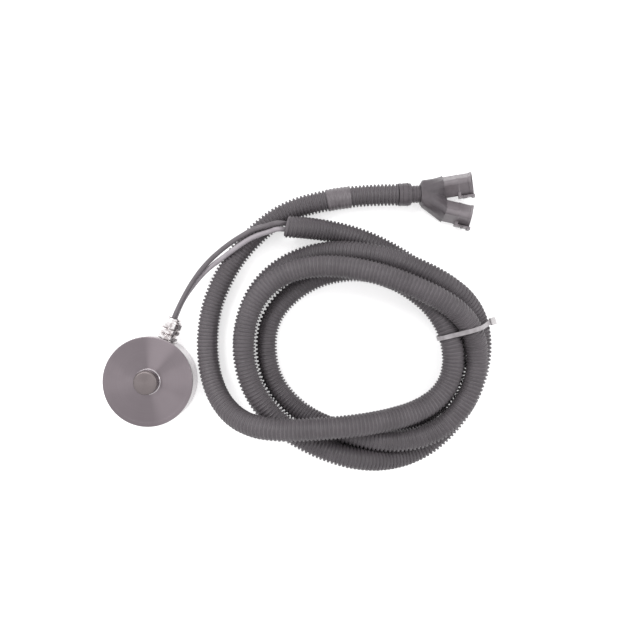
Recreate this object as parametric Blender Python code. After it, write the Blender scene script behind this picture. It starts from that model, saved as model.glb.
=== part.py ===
"""Two-channel compression load cell: a turned steel disc with a load button, a metal cable gland at its
side, two thin cables, and a loosely coiled corrugated conduit that ends in a Y boot with two connectors.

Units are metres and +Z is up. The origin is the centre of the disc's base, on the surface it stands on.
Seen from above, +X runs to the right and +Y runs up.
"""
import math

import bmesh
import bpy
import numpy as np
from mathutils import Matrix, Vector

MM = 0.001

# Clearance kept between two pieces that touch on the real object
SEAT_GAP = 0.3 * MM

# Viewpoint that the route lists below were read from: a picture taken straight down
VIEW_CENTRE_PX = (314.0, 314.0)
VIEW_HEIGHT = 500 * MM
FLOOR_MM_PER_PX = 0.875
VIEW_AXIS = (139.6 * MM, 56.9 * MM)

# Disc
DISC_RADIUS = 38.0 * MM
DISC_HEIGHT = 21.0 * MM
DISC_EDGE = 0.7 * MM
RIM_WIDTH = 3.4 * MM
FACE_DROP = 0.4 * MM
BUTTON_RADIUS = 10.2 * MM
BUTTON_HEIGHT = 8.0 * MM
BUTTON_EDGE = 2.2 * MM
BUTTON_FILLET = 1.2 * MM
DISC_WALL = 7.0 * MM
CAVITY_RADIUS = DISC_RADIUS - DISC_WALL
CAVITY_TOP = 15.5 * MM
CAVITY_FILLET = 1.6 * MM
BOSS_RADIUS = 11.0 * MM
BOSS_BOTTOM = 6.0 * MM
COVER_LEDGE = 3.2 * MM
COVER_RADIUS = CAVITY_RADIUS + COVER_LEDGE
COVER_THICKNESS = 2.5 * MM
COVER_CHAMFER = 0.4 * MM

# Strain gauges and terminal board inside the disc
GAUGE_LENGTH = 5.0 * MM
GAUGE_WIDTH = 3.4 * MM
GAUGE_THICKNESS = 0.4 * MM
GAUGE_CORNER = 0.5 * MM
GAUGE_RADII = (BOSS_RADIUS + 5.0 * MM, CAVITY_RADIUS - 5.5 * MM)
GAUGE_AZIMUTHS = {"a": (20.0, 65.0, 200.0, 245.0), "b": (110.0, 155.0, 290.0, 335.0)}
BOARD_CLEARANCE = 3.0 * MM
BOARD_BAND = 13.0 * MM
BOARD_OUTER = CAVITY_RADIUS - BOARD_CLEARANCE
BOARD_INNER = BOARD_OUTER - BOARD_BAND
BOARD_THICKNESS = 1.6 * MM
LEAD_RADIUS = 1.5 * MM
LEAD_STEP = 3.4 * MM
LEAD_SPREAD = 2.2 * MM
LEAD_INSET = 3.0 * MM
LEAD_BEND = 3.4 * MM
LEAD_ENTRY = 4.0 * MM
LEAD_TURN_SHARES = (0.7, 0.8)
LEAD_RISE = 3.6 * MM

# Gland, measured along its axis from the disc's centre line
GLAND_AZIMUTH = math.radians(69.2)
GLAND_HEIGHT = 10.9 * MM
SPOT_FACE_RADIUS = 9.1 * MM
SPOT_FACE_DEPTH = 1.2 * MM
SPOT_FACE_AT = DISC_RADIUS - SPOT_FACE_DEPTH
THREAD_RADIUS = 6.25 * MM
SEAL_RING_OUTER = 8.5 * MM
SEAL_RING_THICKNESS = 0.9 * MM
LOCK_NUT_FLATS = 16.0 * MM
LOCK_NUT_THICKNESS = 3.2 * MM
THREAD_INNER_END = SPOT_FACE_AT - 4.8 * MM
THREAD_CHAMFER = 0.5 * MM
HEX_CHAMFER = 0.6 * MM
HEX_FACE_RELIEF = 0.2 * MM
BODY_HEX_AT = SPOT_FACE_AT + 6.7 * MM
BODY_HEX_LENGTH = 3.8 * MM
BODY_HEX_FLATS = 15.6 * MM
BODY_END = SPOT_FACE_AT + 14.7 * MM
GLAND_BORE = 4.8 * MM
INSERT_SEAT_AT = SPOT_FACE_AT + 11.8 * MM
INSERT_RADIUS = 5.1 * MM
INSERT_CHAMFER = 0.8 * MM
INSERT_END = SPOT_FACE_AT + 19.0 * MM
CAP_NUT_AT = SPOT_FACE_AT + 11.2 * MM
CAP_NUT_FLATS = 15.0 * MM
CAP_NUT_HEX_LENGTH = 5.6 * MM
CAP_NUT_DOME = 3.2 * MM
CAP_NUT_DOME_ROUND = 1.9 * MM
CAP_NUT_DOME_TURN = 70.0
CAP_NUT_SHOULDER = 0.3 * MM
CAP_NUT_LIP = 0.5 * MM
CAP_NUT_MOUTH = 5.5 * MM
CAP_NUT_MOUTH_CONE = 0.6 * MM

# Cables and conduit
CABLE_RADIUS = 2.1 * MM
CABLE_OFFSET = 2.25 * MM
CONDUIT_RADIUS = 8.8 * MM
CONDUIT_STEP = 31 * MM
CONDUIT_EVENING = 26 * MM
CABLE_STEP = 7 * MM
EXIT_RUN = 4 * MM
MOUTH_GAP = 0.5 * MM
MOUTH_RUN = 8 * MM
MOUTH_SPREAD = 2.5 * MM

# Pieces on the far end of the conduit
COLLAR_RADIUS = 10.1 * MM
COLLAR_LENGTH = 10.7 * MM
COLLAR_LIP = 0.9 * MM
COLLAR_ROUND = 1.6 * MM
COLLAR_FLOOR = 4.0 * MM
NECK_RADIUS = 7.3 * MM
NECK_LENGTH = 7.4 * MM
NECK_WALL = 1.2 * MM
LABEL_LENGTH = 20.5 * MM
LABEL_THICKNESS = 0.5 * MM

# Y boot
OUTLINE_SLACK = 1e-9
BOOT_ROOT_WIDTH = 22.6 * MM
BOOT_ROOT_HEIGHT = 16.6 * MM
BOOT_ROOT_POWER = 3.2
BOOT_MOUTH_GROWTH = 1.0 * MM
BOOT_SHOULDER = 1.8 * MM
BOOT_WALL = 1.1 * MM
BOOT_OVERLAP = 1.8 * MM
BOOT_SIDES = 30

# Connectors
SHELL_REACH = 7.3 * MM
SHELL_CORNER = 3.0 * MM
SHELL_WALL = 1.4 * MM
SHELL_LENGTH = 25.5 * MM
MOUTH_DEPTH = 14.0 * MM
RIM_GROWTH = 0.5 * MM
RIM_LENGTH = 2.6 * MM
LATCH_LENGTH = 13.5 * MM
LATCH_WIDTH = 7.0 * MM
LATCH_THICKNESS = 1.5 * MM
LATCH_GAP = 1.1 * MM
LATCH_LEG = 2.4 * MM
LATCH_OVERHANG = 1.0 * MM
LATCH_HOOK = 1.0 * MM
PIN_RADIUS = 0.8 * MM
PIN_LENGTH = 7.5 * MM
PIN_TIP_SHARE = 0.5
PIN_CIRCLE = 3.3 * MM
WEDGE_THICKNESS = 2.6 * MM
REAR_SEAL_THICKNESS = 3.0 * MM

# Cable tie
TIE_WIDTH = 3.6 * MM
TIE_THICKNESS = 1.0 * MM
TIE_SLACK = 0.75 * MM
TIE_HEAD = (6.0 * MM, 5.4 * MM, 4.6 * MM)
TIE_HEAD_CORNER = 0.8 * MM
TIE_SPAN = (-30 * MM, 70 * MM)

# How far a cutter runs past the face that it opens, and the angle in degrees from which an edge is sharp
CUT_REACH = 1.0 * MM
SHARP_ANGLE = 35.0

# Routes, chosen by eye on the picture: x and y in its pixels, then the height of the centre line in mm.
# The conduit runs from its open mouth, clockwise around the coil four times, to the collar.
CONDUIT_ROUTE_PX = [
    (286.0, 226.5, 24.4), (300.0, 227.2, 19.0), (318.5, 229.5, 12.0), (337.6, 232.4, 9.8),
    (357.0, 237.4, 9.5), (375.0, 244.5, 9.5), (391.0, 253.0, 9.5), (404.0, 261.0, 9.5),
    (418.0, 270.5, 9.5), (430.5, 283.0, 9.5), (440.2, 296.5, 9.5), (448.0, 310.5, 10.4),
    (453.8, 326.0, 11.2), (457.2, 344.0, 11.2), (456.0, 366.0, 10.3), (448.4, 387.6, 9.5),
    (437.0, 404.5, 9.5), (422.0, 418.5, 9.5), (404.0, 429.0, 9.5), (384.0, 437.0, 9.5),
    (362.0, 444.0, 9.5), (341.0, 448.6, 9.5), (321.0, 446.6, 9.5), (305.0, 440.6, 9.5),
    (288.0, 431.4, 9.5), (274.2, 419.6, 9.5), (261.9, 405.4, 9.5), (251.6, 388.6, 9.5),
    (245.2, 370.0, 9.5), (242.6, 348.0, 9.5), (244.0, 328.0, 9.5), (249.0, 308.0, 9.5),
    (258.8, 289.0, 9.5), (272.0, 274.6, 9.5), (287.0, 264.0, 9.5), (304.0, 256.8, 10.2),
    (323.0, 252.4, 13.6), (341.0, 251.4, 19.8), (359.0, 252.2, 25.4), (377.5, 255.4, 28.0),
    (397.0, 260.8, 28.4), (415.5, 267.8, 28.4), (434.5, 277.0, 28.4), (453.0, 288.8, 27.2),
    (467.6, 302.5, 21.6), (477.0, 319.3, 14.2), (481.0, 340.0, 11.0), (480.2, 360.0, 10.2),
    (474.6, 382.0, 9.5), (462.6, 406.5, 9.5), (447.0, 427.0, 9.5), (433.7, 440.0, 9.5),
    (416.0, 450.8, 11.0), (397.8, 457.2, 15.8), (380.0, 459.9, 21.6), (361.0, 459.4, 27.0),
    (342.8, 455.8, 28.4), (323.8, 449.4, 28.2), (305.8, 441.0, 28.2), (290.0, 431.4, 28.2),
    (276.4, 419.8, 28.2), (264.0, 405.4, 28.2), (253.4, 389.0, 28.2), (245.8, 368.0, 28.2),
    (243.4, 346.0, 28.2), (245.6, 326.0, 28.2), (251.2, 306.4, 28.2), (261.3, 291.0, 28.4),
    (274.6, 279.0, 28.6), (290.0, 271.2, 28.8), (310.0, 266.6, 30.0), (330.0, 265.6, 32.4),
    (350.0, 267.2, 35.2), (370.0, 271.2, 38.0), (390.0, 277.0, 40.4), (410.0, 284.4, 42.6),
    (430.0, 293.6, 43.8), (448.0, 303.4, 43.8), (462.0, 314.2, 41.6), (471.4, 328.0, 35.6),
    (477.0, 345.0, 30.2), (477.6, 362.0, 28.8), (473.6, 384.0, 28.2), (462.0, 406.5, 28.2),
    (446.0, 424.4, 28.2), (430.5, 434.0, 28.2), (410.0, 440.0, 28.2), (390.0, 441.2, 28.2),
    (370.0, 438.8, 28.0), (350.0, 433.6, 25.4), (332.0, 428.4, 20.0), (314.4, 421.0, 13.0),
    (300.0, 411.8, 9.6), (286.4, 399.6, 9.5), (275.4, 385.8, 9.5), (268.2, 368.0, 9.5),
    (265.7, 347.0, 9.5), (267.3, 327.0, 9.5), (273.9, 311.9, 9.5), (284.5, 299.0, 9.5),
    (299.0, 287.0, 9.5), (316.0, 277.6, 9.5), (334.0, 272.4, 9.5), (354.0, 270.2, 9.5),
    (374.0, 272.2, 11.0), (394.8, 279.4, 14.6), (412.0, 288.6, 19.4), (428.0, 301.1, 23.8),
    (440.4, 315.0, 26.8), (449.2, 333.0, 29.4), (453.8, 352.0, 29.5), (452.8, 374.0, 29.0),
    (443.5, 393.0, 29.4), (425.0, 407.6, 31.6), (404.0, 416.0, 35.4), (382.3, 421.4, 40.0),
    (362.0, 425.0, 43.8), (340.0, 427.6, 46.4), (318.0, 429.0, 46.8), (296.0, 430.2, 46.6),
    (276.0, 430.2, 46.4), (258.0, 427.8, 43.0), (241.0, 421.6, 35.4), (227.0, 410.0, 26.4),
    (216.4, 393.4, 18.6), (210.0, 373.0, 12.8), (207.2, 350.0, 10.0), (207.8, 330.0, 9.5),
    (212.0, 305.0, 9.5), (221.0, 283.0, 9.5), (235.0, 258.0, 9.5), (254.0, 236.4, 9.5),
    (274.0, 219.2, 9.5), (295.0, 208.5, 9.5), (318.0, 202.2, 9.5), (345.0, 197.5, 9.6),
    (372.0, 195.2, 10.2), (398.0, 194.8, 10.6),
]
CABLE_DARK_ROUTE_PX = [
    (182.0, 300.5, 12.6), (190.4, 285.4, 12.6), (199.6, 271.8, 13.4), (209.4, 260.8, 15.0),
    (219.4, 251.6, 17.0), (229.6, 243.6, 19.2), (240.0, 236.8, 21.2), (250.0, 231.0, 22.8),
    (260.0, 227.2, 24.0), (271.0, 224.6, 24.8),
]
CABLE_LIGHT_ROUTE_PX = [
    (182.6, 301.0, 7.8), (192.0, 287.0, 7.8), (202.0, 274.8, 9.0), (211.6, 266.0, 12.6),
    (221.0, 259.0, 16.8), (230.6, 251.8, 20.4), (240.4, 244.8, 21.8), (250.2, 238.6, 22.8),
    (260.6, 234.2, 23.8), (271.4, 231.0, 24.6),
]
LABEL_CENTRE_PX = (339.0, 198.0)
TIE_LEFT_PX = (438.5, 338.0)
TIE_RIGHT_PX = (490.0, 321.0)
CONNECTOR_A_REAR_PX = (441.6, 186.9)
CONNECTOR_A_AZIMUTH = math.radians(7.0)
CONNECTOR_A_ROLL = math.radians(-125.0)
CONNECTOR_A_PITCH = math.radians(12.0)
CONNECTOR_B_REAR_PX = (442.4, 210.0)
CONNECTOR_B_AZIMUTH = math.radians(-13.5)
CONNECTOR_B_ROLL = math.radians(-108.0)
CONNECTOR_B_PITCH = math.radians(2.0)
CONNECTOR_FLOOR_GAP = 0.2 * MM
MOUTH_CUT_BACK = math.radians(9.0)


def clear_scene():
    for item in list(bpy.data.objects):
        bpy.data.objects.remove(item, do_unlink=True)


def picture_point(px, py, height):
    """Turn a picture position and a height into a place in the part's own frame."""
    scale = FLOOR_MM_PER_PX * MM * (1.0 - height / VIEW_HEIGHT)
    x = (px - VIEW_CENTRE_PX[0]) * scale + VIEW_AXIS[0]
    y = (VIEW_CENTRE_PX[1] - py) * scale + VIEW_AXIS[1]
    return Vector((x, y, height))


def picture_route(points):
    return [picture_point(px, py, height * MM) for px, py, height in points]


def smooth_curve(points, per_span=24):
    """Dense points on a centripetal curve that passes through every route point."""
    places = [np.array(point, dtype=float) for point in points]
    places.insert(0, 2.0 * places[0] - places[1])
    places.append(2.0 * places[-1] - places[-2])
    dense = []
    for first, start, end, last in zip(places, places[1:], places[2:], places[3:]):
        knots = [0.0]
        for one, other in ((first, start), (start, end), (end, last)):
            knots.append(knots[-1] + math.sqrt(float(np.linalg.norm(other - one))))
        for t in np.linspace(knots[1], knots[2], per_span, endpoint=False):
            a1 = (first * (knots[1] - t) + start * (t - knots[0])) / (knots[1] - knots[0])
            a2 = (start * (knots[2] - t) + end * (t - knots[1])) / (knots[2] - knots[1])
            a3 = (end * (knots[3] - t) + last * (t - knots[2])) / (knots[3] - knots[2])
            b1 = (a1 * (knots[2] - t) + a2 * (t - knots[0])) / (knots[2] - knots[0])
            b2 = (a2 * (knots[3] - t) + a3 * (t - knots[1])) / (knots[3] - knots[1])
            dense.append((b1 * (knots[2] - t) + b2 * (t - knots[1])) / (knots[2] - knots[1]))
    dense.append(places[-2])
    return np.array(dense)


def lengths_along(dense):
    steps = np.linalg.norm(np.diff(dense, axis=0), axis=1)
    return np.concatenate([[0.0], np.cumsum(steps)])


def even_points(dense, step):
    """Points at equal distances along a dense curve, about one step apart."""
    along = lengths_along(dense)
    count = max(2, int(math.ceil(along[-1] / step)) + 1)
    wanted = np.linspace(0.0, along[-1], count)
    columns = [np.interp(wanted, along, dense[:, axis]) for axis in range(3)]
    return [Vector(row) for row in np.stack(columns, axis=1)]


def evened(dense, reach, step=1.0 * MM):
    """The curve as a weighted running average over a reach on each side; its ends stay in place."""
    even = np.array(even_points(dense, step))
    half = int(reach / step)
    weights = np.hanning(2 * half + 3)[1:-1]
    weights /= weights.sum()
    before = 2.0 * even[0] - even[half:0:-1]
    after = 2.0 * even[-1] - even[-2:-half - 2:-1]
    longer = np.concatenate([before, even, after])
    columns = [np.convolve(longer[:, axis], weights, mode="valid") for axis in range(3)]
    return np.stack(columns, axis=1)


def make_material(name, colour, roughness, metallic=0.0):
    material = bpy.data.materials.get(name)
    if material is None:
        material = bpy.data.materials.new(name)
        material.use_nodes = True
        shader = material.node_tree.nodes["Principled BSDF"]
        shader.inputs["Base Color"].default_value = (*colour, 1.0)
        shader.inputs["Roughness"].default_value = roughness
        shader.inputs["Metallic"].default_value = metallic
    return material


MATERIALS = {
    "turned_steel": ((0.42, 0.40, 0.41), 0.34, 1.0),
    "nickel_plate": ((0.72, 0.71, 0.69), 0.22, 1.0),
    "gauge_foil": ((0.55, 0.36, 0.16), 0.45, 0.0),
    "board_green": ((0.05, 0.20, 0.10), 0.50, 0.0),
    "black_rubber": ((0.03, 0.03, 0.03), 0.75, 0.0),
    "dark_jacket": ((0.07, 0.07, 0.07), 0.50, 0.0),
    "grey_jacket": ((0.36, 0.35, 0.34), 0.50, 0.0),
    "conduit_plastic": ((0.05, 0.05, 0.05), 0.48, 0.0),
    "label_film": ((0.16, 0.15, 0.16), 0.40, 0.0),
    "boot_plastic": ((0.06, 0.06, 0.06), 0.42, 0.0),
    "shell_plastic": ((0.10, 0.10, 0.10), 0.36, 0.0),
    "wedge_plastic": ((0.16, 0.16, 0.16), 0.45, 0.0),
    "pin_plate": ((0.75, 0.72, 0.66), 0.25, 1.0),
    "tie_nylon": ((0.68, 0.66, 0.64), 0.45, 0.0),
}


def finish(name, bm, material):
    """Store a closed bmesh as a named object that is smooth except at its edges."""
    bmesh.ops.remove_doubles(bm, verts=bm.verts, dist=1e-7)
    bmesh.ops.dissolve_degenerate(bm, edges=bm.edges, dist=1e-7)
    bmesh.ops.recalc_face_normals(bm, faces=bm.faces)
    mesh = bpy.data.meshes.new(name)
    bm.to_mesh(mesh)
    bm.free()
    mesh.shade_smooth()
    mesh.set_sharp_from_angle(angle=math.radians(SHARP_ANGLE))
    obj = bpy.data.objects.new(name, mesh)
    bpy.context.collection.objects.link(obj)
    colour, roughness, metallic = MATERIALS[material]
    mesh.materials.append(make_material(material, colour, roughness, metallic))
    return obj


def arc(centre, radius, start, end, steps):
    """Points of an arc in a plane, angles in degrees."""
    points = []
    for index in range(steps + 1):
        angle = math.radians(start + (end - start) * index / steps)
        points.append((centre[0] + radius * math.cos(angle), centre[1] + radius * math.sin(angle)))
    return points


def add_turned(bm, profile, steps, closed=False):
    """Spin a profile of (radius, height) points around +Z."""
    verts = [bm.verts.new((radius, 0.0, height)) for radius, height in profile]
    edges = [bm.edges.new(pair) for pair in zip(verts, verts[1:])]
    if closed:
        edges.append(bm.edges.new((verts[-1], verts[0])))
    bmesh.ops.spin(bm, geom=verts + edges, cent=(0, 0, 0), axis=(0, 0, 1), angle=math.tau,
                   steps=steps, use_merge=True, use_duplicate=False)


def turned(name, profile, steps, material, closed=False):
    bm = bmesh.new()
    add_turned(bm, profile, steps, closed)
    return finish(name, bm, material)


def add_loft(bm, sections):
    """Skin a row of equal outlines and close both ends."""
    rings = [[bm.verts.new(point) for point in section] for section in sections]
    for ring, following in zip(rings, rings[1:]):
        for index in range(len(ring)):
            nxt = (index + 1) % len(ring)
            bm.faces.new((ring[index], ring[nxt], following[nxt], following[index]))
    bm.faces.new(list(reversed(rings[0])))
    bm.faces.new(rings[-1])


def rounded_outline(corners, radius, steps):
    """A convex outline with round corners; the corner circles touch the corner's two sides."""
    outline = []
    count = len(corners)
    for index in range(count):
        before = Vector(corners[index - 1])
        here = Vector(corners[index])
        after = Vector(corners[(index + 1) % count])
        to_before = (before - here).normalized()
        to_after = (after - here).normalized()
        half = to_before.angle(to_after) / 2.0
        centre = here + (to_before + to_after).normalized() * (radius / math.sin(half))
        start = here + to_before * (radius / math.tan(half)) - centre
        end = here + to_after * (radius / math.tan(half)) - centre
        first = math.atan2(start.y, start.x)
        turn = (math.atan2(end.y, end.x) - first + math.pi) % math.tau - math.pi
        for step in range(steps + 1):
            angle = first + turn * step / steps
            outline.append((centre.x + radius * math.cos(angle), centre.y + radius * math.sin(angle)))
    return outline


def rectangle(width, height):
    right = width / 2
    top = height / 2
    return [(-right, -top), (right, -top), (right, top), (-right, top)]


def cut(target, cutter, operation="DIFFERENCE"):
    """Apply one exact Boolean and remove the cutter."""
    modifier = target.modifiers.new("cut", "BOOLEAN")
    modifier.solver = "EXACT"
    modifier.operation = operation
    modifier.object = cutter
    bpy.context.view_layer.update()
    graph = bpy.context.evaluated_depsgraph_get()
    mesh = bpy.data.meshes.new_from_object(target.evaluated_get(graph))
    target.modifiers.clear()
    target.data = mesh
    bpy.data.objects.remove(cutter, do_unlink=True)
    return target


def tube(name, points, radius, material, sides_level):
    """A plain round cord through evenly spaced points."""
    curve = bpy.data.curves.new(name, "CURVE")
    curve.dimensions = "3D"
    curve.bevel_depth = radius
    curve.bevel_resolution = sides_level
    curve.use_fill_caps = True
    spline = curve.splines.new("POLY")
    spline.points.add(len(points) - 1)
    for point, place in zip(spline.points, points):
        point.co = (*place, 1.0)
    obj = bpy.data.objects.new(name, curve)
    bpy.context.collection.objects.link(obj)
    colour, roughness, metallic = MATERIALS[material]
    curve.materials.append(make_material(material, colour, roughness, metallic))
    return obj


# Disc


def disc_profile():
    """Half section of the disc, from the top of the button round to the boss inside."""
    top = DISC_HEIGHT + BUTTON_HEIGHT
    face = DISC_HEIGHT - FACE_DROP
    edge = (BUTTON_RADIUS - BUTTON_EDGE, top - BUTTON_EDGE)
    fillet = (BUTTON_RADIUS + BUTTON_FILLET, face + BUTTON_FILLET)
    corner = (DISC_RADIUS - DISC_EDGE, DISC_HEIGHT - DISC_EDGE)
    ceiling = (CAVITY_RADIUS - CAVITY_FILLET, CAVITY_TOP - CAVITY_FILLET)
    seat = COVER_RADIUS + SEAT_GAP
    points = [(0.0, top)]
    points += arc(edge, BUTTON_EDGE, 90, 0, 5)
    points += arc(fillet, BUTTON_FILLET, 180, 270, 3)
    points += [(DISC_RADIUS - RIM_WIDTH, face), (DISC_RADIUS - RIM_WIDTH + FACE_DROP, DISC_HEIGHT)]
    points += arc(corner, DISC_EDGE, 90, 0, 2)
    points += arc((DISC_RADIUS - DISC_EDGE, DISC_EDGE), DISC_EDGE, 0, -90, 2)
    points += [(seat, 0.0), (seat, COVER_THICKNESS + SEAT_GAP), (CAVITY_RADIUS, COVER_THICKNESS + SEAT_GAP)]
    points += arc(ceiling, CAVITY_FILLET, 0, 90, 2)
    points += arc((BOSS_RADIUS + CAVITY_FILLET, CAVITY_TOP - CAVITY_FILLET), CAVITY_FILLET, 90, 180, 2)
    points += [(BOSS_RADIUS, BOSS_BOTTOM), (0.0, BOSS_BOTTOM)]
    return points


def gland_frame():
    """Matrix whose +Z runs out along the gland's axis, with +Y up."""
    outward = Vector((math.cos(GLAND_AZIMUTH), math.sin(GLAND_AZIMUTH), 0.0))
    up = Vector((0.0, 0.0, 1.0))
    side = up.cross(outward)
    matrix = Matrix((side, up, outward)).transposed().to_4x4()
    matrix.translation = Vector((0.0, 0.0, GLAND_HEIGHT))
    return matrix


def port_cutter():
    """The threaded port and the flat that the gland's seal sits on."""
    reach = DISC_RADIUS + SEAL_RING_OUTER
    start = CAVITY_RADIUS - SEAT_GAP - CAVITY_FILLET
    profile = [(0.0, reach), (SPOT_FACE_RADIUS, reach), (SPOT_FACE_RADIUS, SPOT_FACE_AT),
               (THREAD_RADIUS + SEAT_GAP, SPOT_FACE_AT), (THREAD_RADIUS + SEAT_GAP, start), (0.0, start)]
    cutter = turned("port_cutter", profile, 40, "black_rubber")
    cutter.matrix_world = gland_frame()
    cutter.hide_render = True
    cutter.display_type = "WIRE"
    return cutter


def make_disc():
    body = turned("sensor_body", disc_profile(), 64, "turned_steel")
    cut(body, port_cutter())
    body.data.shade_smooth()
    body.data.set_sharp_from_angle(angle=math.radians(SHARP_ANGLE))
    profile = [(0.0, COVER_THICKNESS), (COVER_RADIUS, COVER_THICKNESS), (COVER_RADIUS, COVER_CHAMFER),
               (COVER_RADIUS - COVER_CHAMFER, 0.0), (0.0, 0.0)]
    turned("base_cover", profile, 64, "turned_steel")


def make_gauges(letter, azimuths):
    """One full bridge: four foil gauges on the underside of the diaphragm."""
    top = CAVITY_TOP - SEAT_GAP
    outline = rounded_outline(rectangle(GAUGE_LENGTH, GAUGE_WIDTH), GAUGE_CORNER, 2)
    for index, azimuth in enumerate(azimuths):
        bm = bmesh.new()
        add_loft(bm, [outline_section(outline, top - GAUGE_THICKNESS), outline_section(outline, top)])
        gauge = finish("strain_gauge_%s%d" % (letter, index + 1), bm, "gauge_foil")
        turn = Matrix.Rotation(math.radians(azimuth), 4, "Z")
        gauge.matrix_world = turn @ Matrix.Translation((GAUGE_RADII[index % 2], 0.0, 0.0))


def make_board():
    base = COVER_THICKNESS + SEAT_GAP
    top = base + BOARD_THICKNESS
    profile = [(BOARD_INNER, base), (BOARD_OUTER, base), (BOARD_OUTER, top), (BOARD_INNER, top)]
    turned("terminal_board", profile, 48, "board_green", closed=True)


def make_inner_lead(name, side, sideways):
    """A lead from the gland's insert, through the bore, down to the terminal board."""
    frame = gland_frame()
    board_top = COVER_THICKNESS + SEAT_GAP + BOARD_THICKNESS + SEAT_GAP
    drop = board_top - GLAND_HEIGHT
    level = side * CABLE_OFFSET
    start = INSERT_SEAT_AT - SEAT_GAP
    entry = CAVITY_RADIUS + LEAD_ENTRY
    end_radius = BOARD_OUTER - LEAD_INSET
    turn_side, turn_level = LEAD_TURN_SHARES
    route = [(0.0, level, start), (0.0, level, (start + entry) / 2.0), (0.0, level, entry),
             (sideways * turn_side, level * turn_level, end_radius + LEAD_BEND),
             (sideways, drop + LEAD_RISE, end_radius), (sideways, drop, end_radius)]
    dense = smooth_curve([frame @ Vector(point) for point in route])
    return tube(name, even_points(dense, LEAD_STEP), LEAD_RADIUS, "dark_jacket", 2)


# Gland


def hex_outline(flats):
    corner = flats / math.sqrt(3.0)
    return arc((0.0, 0.0), corner, 0, 300, 5)


def hex_nut(flats, low, high, bore):
    """A hexagon with both ends turned back to a round washer face, and a plain bore."""
    bm = bmesh.new()
    add_loft(bm, [[(x, y, height) for x, y in hex_outline(flats)] for height in (low, high)])
    block = finish("hex_block", bm, "nickel_plate")
    corner = flats / math.sqrt(3.0) + HEX_FACE_RELIEF
    face = flats / 2.0 - HEX_FACE_RELIEF
    profile = [(0.0, low), (face, low), (corner, low + HEX_CHAMFER), (corner, high - HEX_CHAMFER),
               (face, high), (0.0, high)]
    lens = turned("hex_lens", profile, 48, "nickel_plate")
    cut(block, lens, "INTERSECT")
    if bore:
        start = low - CUT_REACH
        end = high + CUT_REACH
        hole = [(0.0, start), (bore, start), (bore, end), (0.0, end)]
        cut(block, turned("bore", hole, 48, "nickel_plate"))
    return block


def name_and_place(obj, name, matrix):
    obj.name = name
    obj.data.name = name
    obj.matrix_world = matrix
    obj.data.shade_smooth()
    obj.data.set_sharp_from_angle(angle=math.radians(SHARP_ANGLE))
    return obj


def make_seal_and_lock_nut(frame):
    ring_at = SPOT_FACE_AT + SEAT_GAP
    ring_end = ring_at + SEAL_RING_THICKNESS
    ring_bore = THREAD_RADIUS + SEAT_GAP
    profile = [(ring_bore, ring_at), (SEAL_RING_OUTER, ring_at), (SEAL_RING_OUTER, ring_end),
               (ring_bore, ring_end)]
    seal_ring = turned("gland_seal_ring", profile, 40, "black_rubber", closed=True)
    name_and_place(seal_ring, "gland_seal_ring", frame)

    nut_at = ring_end + SEAT_GAP
    lock_nut = hex_nut(LOCK_NUT_FLATS, nut_at, nut_at + LOCK_NUT_THICKNESS, THREAD_RADIUS + SEAT_GAP)
    name_and_place(lock_nut, "gland_lock_nut", frame)


def make_gland_body(frame):
    """The threaded stem with its hexagon, bored for the leads and for the insert."""
    hex_end = BODY_HEX_AT + BODY_HEX_LENGTH
    body = hex_nut(BODY_HEX_FLATS, BODY_HEX_AT, hex_end, 0.0)
    stem = [(0.0, THREAD_INNER_END), (THREAD_RADIUS - THREAD_CHAMFER, THREAD_INNER_END),
            (THREAD_RADIUS, THREAD_INNER_END + THREAD_CHAMFER), (THREAD_RADIUS, BODY_END), (0.0, BODY_END)]
    cut(body, turned("stem", stem, 40, "nickel_plate"), "UNION")
    collet = INSERT_RADIUS + SEAT_GAP
    bore = [(0.0, THREAD_INNER_END - CUT_REACH), (GLAND_BORE, THREAD_INNER_END - CUT_REACH),
            (GLAND_BORE, INSERT_SEAT_AT - SEAT_GAP), (collet, INSERT_SEAT_AT - SEAT_GAP),
            (collet, BODY_END + CUT_REACH), (0.0, BODY_END + CUT_REACH)]
    cut(body, turned("stem_bore", bore, 40, "nickel_plate"))
    name_and_place(body, "gland_body", frame)


def make_gland_insert(frame):
    profile = [(0.0, INSERT_SEAT_AT), (INSERT_RADIUS, INSERT_SEAT_AT),
               (INSERT_RADIUS, INSERT_END - INSERT_CHAMFER), (INSERT_RADIUS - INSERT_CHAMFER, INSERT_END),
               (0.0, INSERT_END)]
    name_and_place(turned("gland_insert", profile, 40, "black_rubber"), "gland_insert", frame)


def make_gland_nut(frame):
    """The domed cap nut that squeezes the insert around the cables."""
    hex_top = CAP_NUT_AT + CAP_NUT_HEX_LENGTH
    nut = hex_nut(CAP_NUT_FLATS, CAP_NUT_AT, hex_top, 0.0)
    shoulder = CAP_NUT_FLATS / 2.0 - CAP_NUT_SHOULDER
    dome_top = hex_top + CAP_NUT_DOME
    dome = [(0.0, hex_top - SEAT_GAP), (shoulder, hex_top - SEAT_GAP)]
    dome += arc((shoulder - CAP_NUT_DOME_ROUND, hex_top), CAP_NUT_DOME_ROUND, 0, CAP_NUT_DOME_TURN, 4)
    dome += [(CAP_NUT_MOUTH + CAP_NUT_LIP, dome_top), (0.0, dome_top)]
    cut(nut, turned("dome", dome, 40, "nickel_plate"), "UNION")
    thread = THREAD_RADIUS + SEAT_GAP
    inside = BODY_END + SEAT_GAP
    bore = [(0.0, CAP_NUT_AT - CUT_REACH), (thread, CAP_NUT_AT - CUT_REACH), (thread, inside),
            (CAP_NUT_MOUTH, inside + CAP_NUT_MOUTH_CONE), (CAP_NUT_MOUTH, dome_top + CUT_REACH),
            (0.0, dome_top + CUT_REACH)]
    cut(nut, turned("nut_bore", bore, 40, "nickel_plate"))
    name_and_place(nut, "gland_nut", frame)


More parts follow.
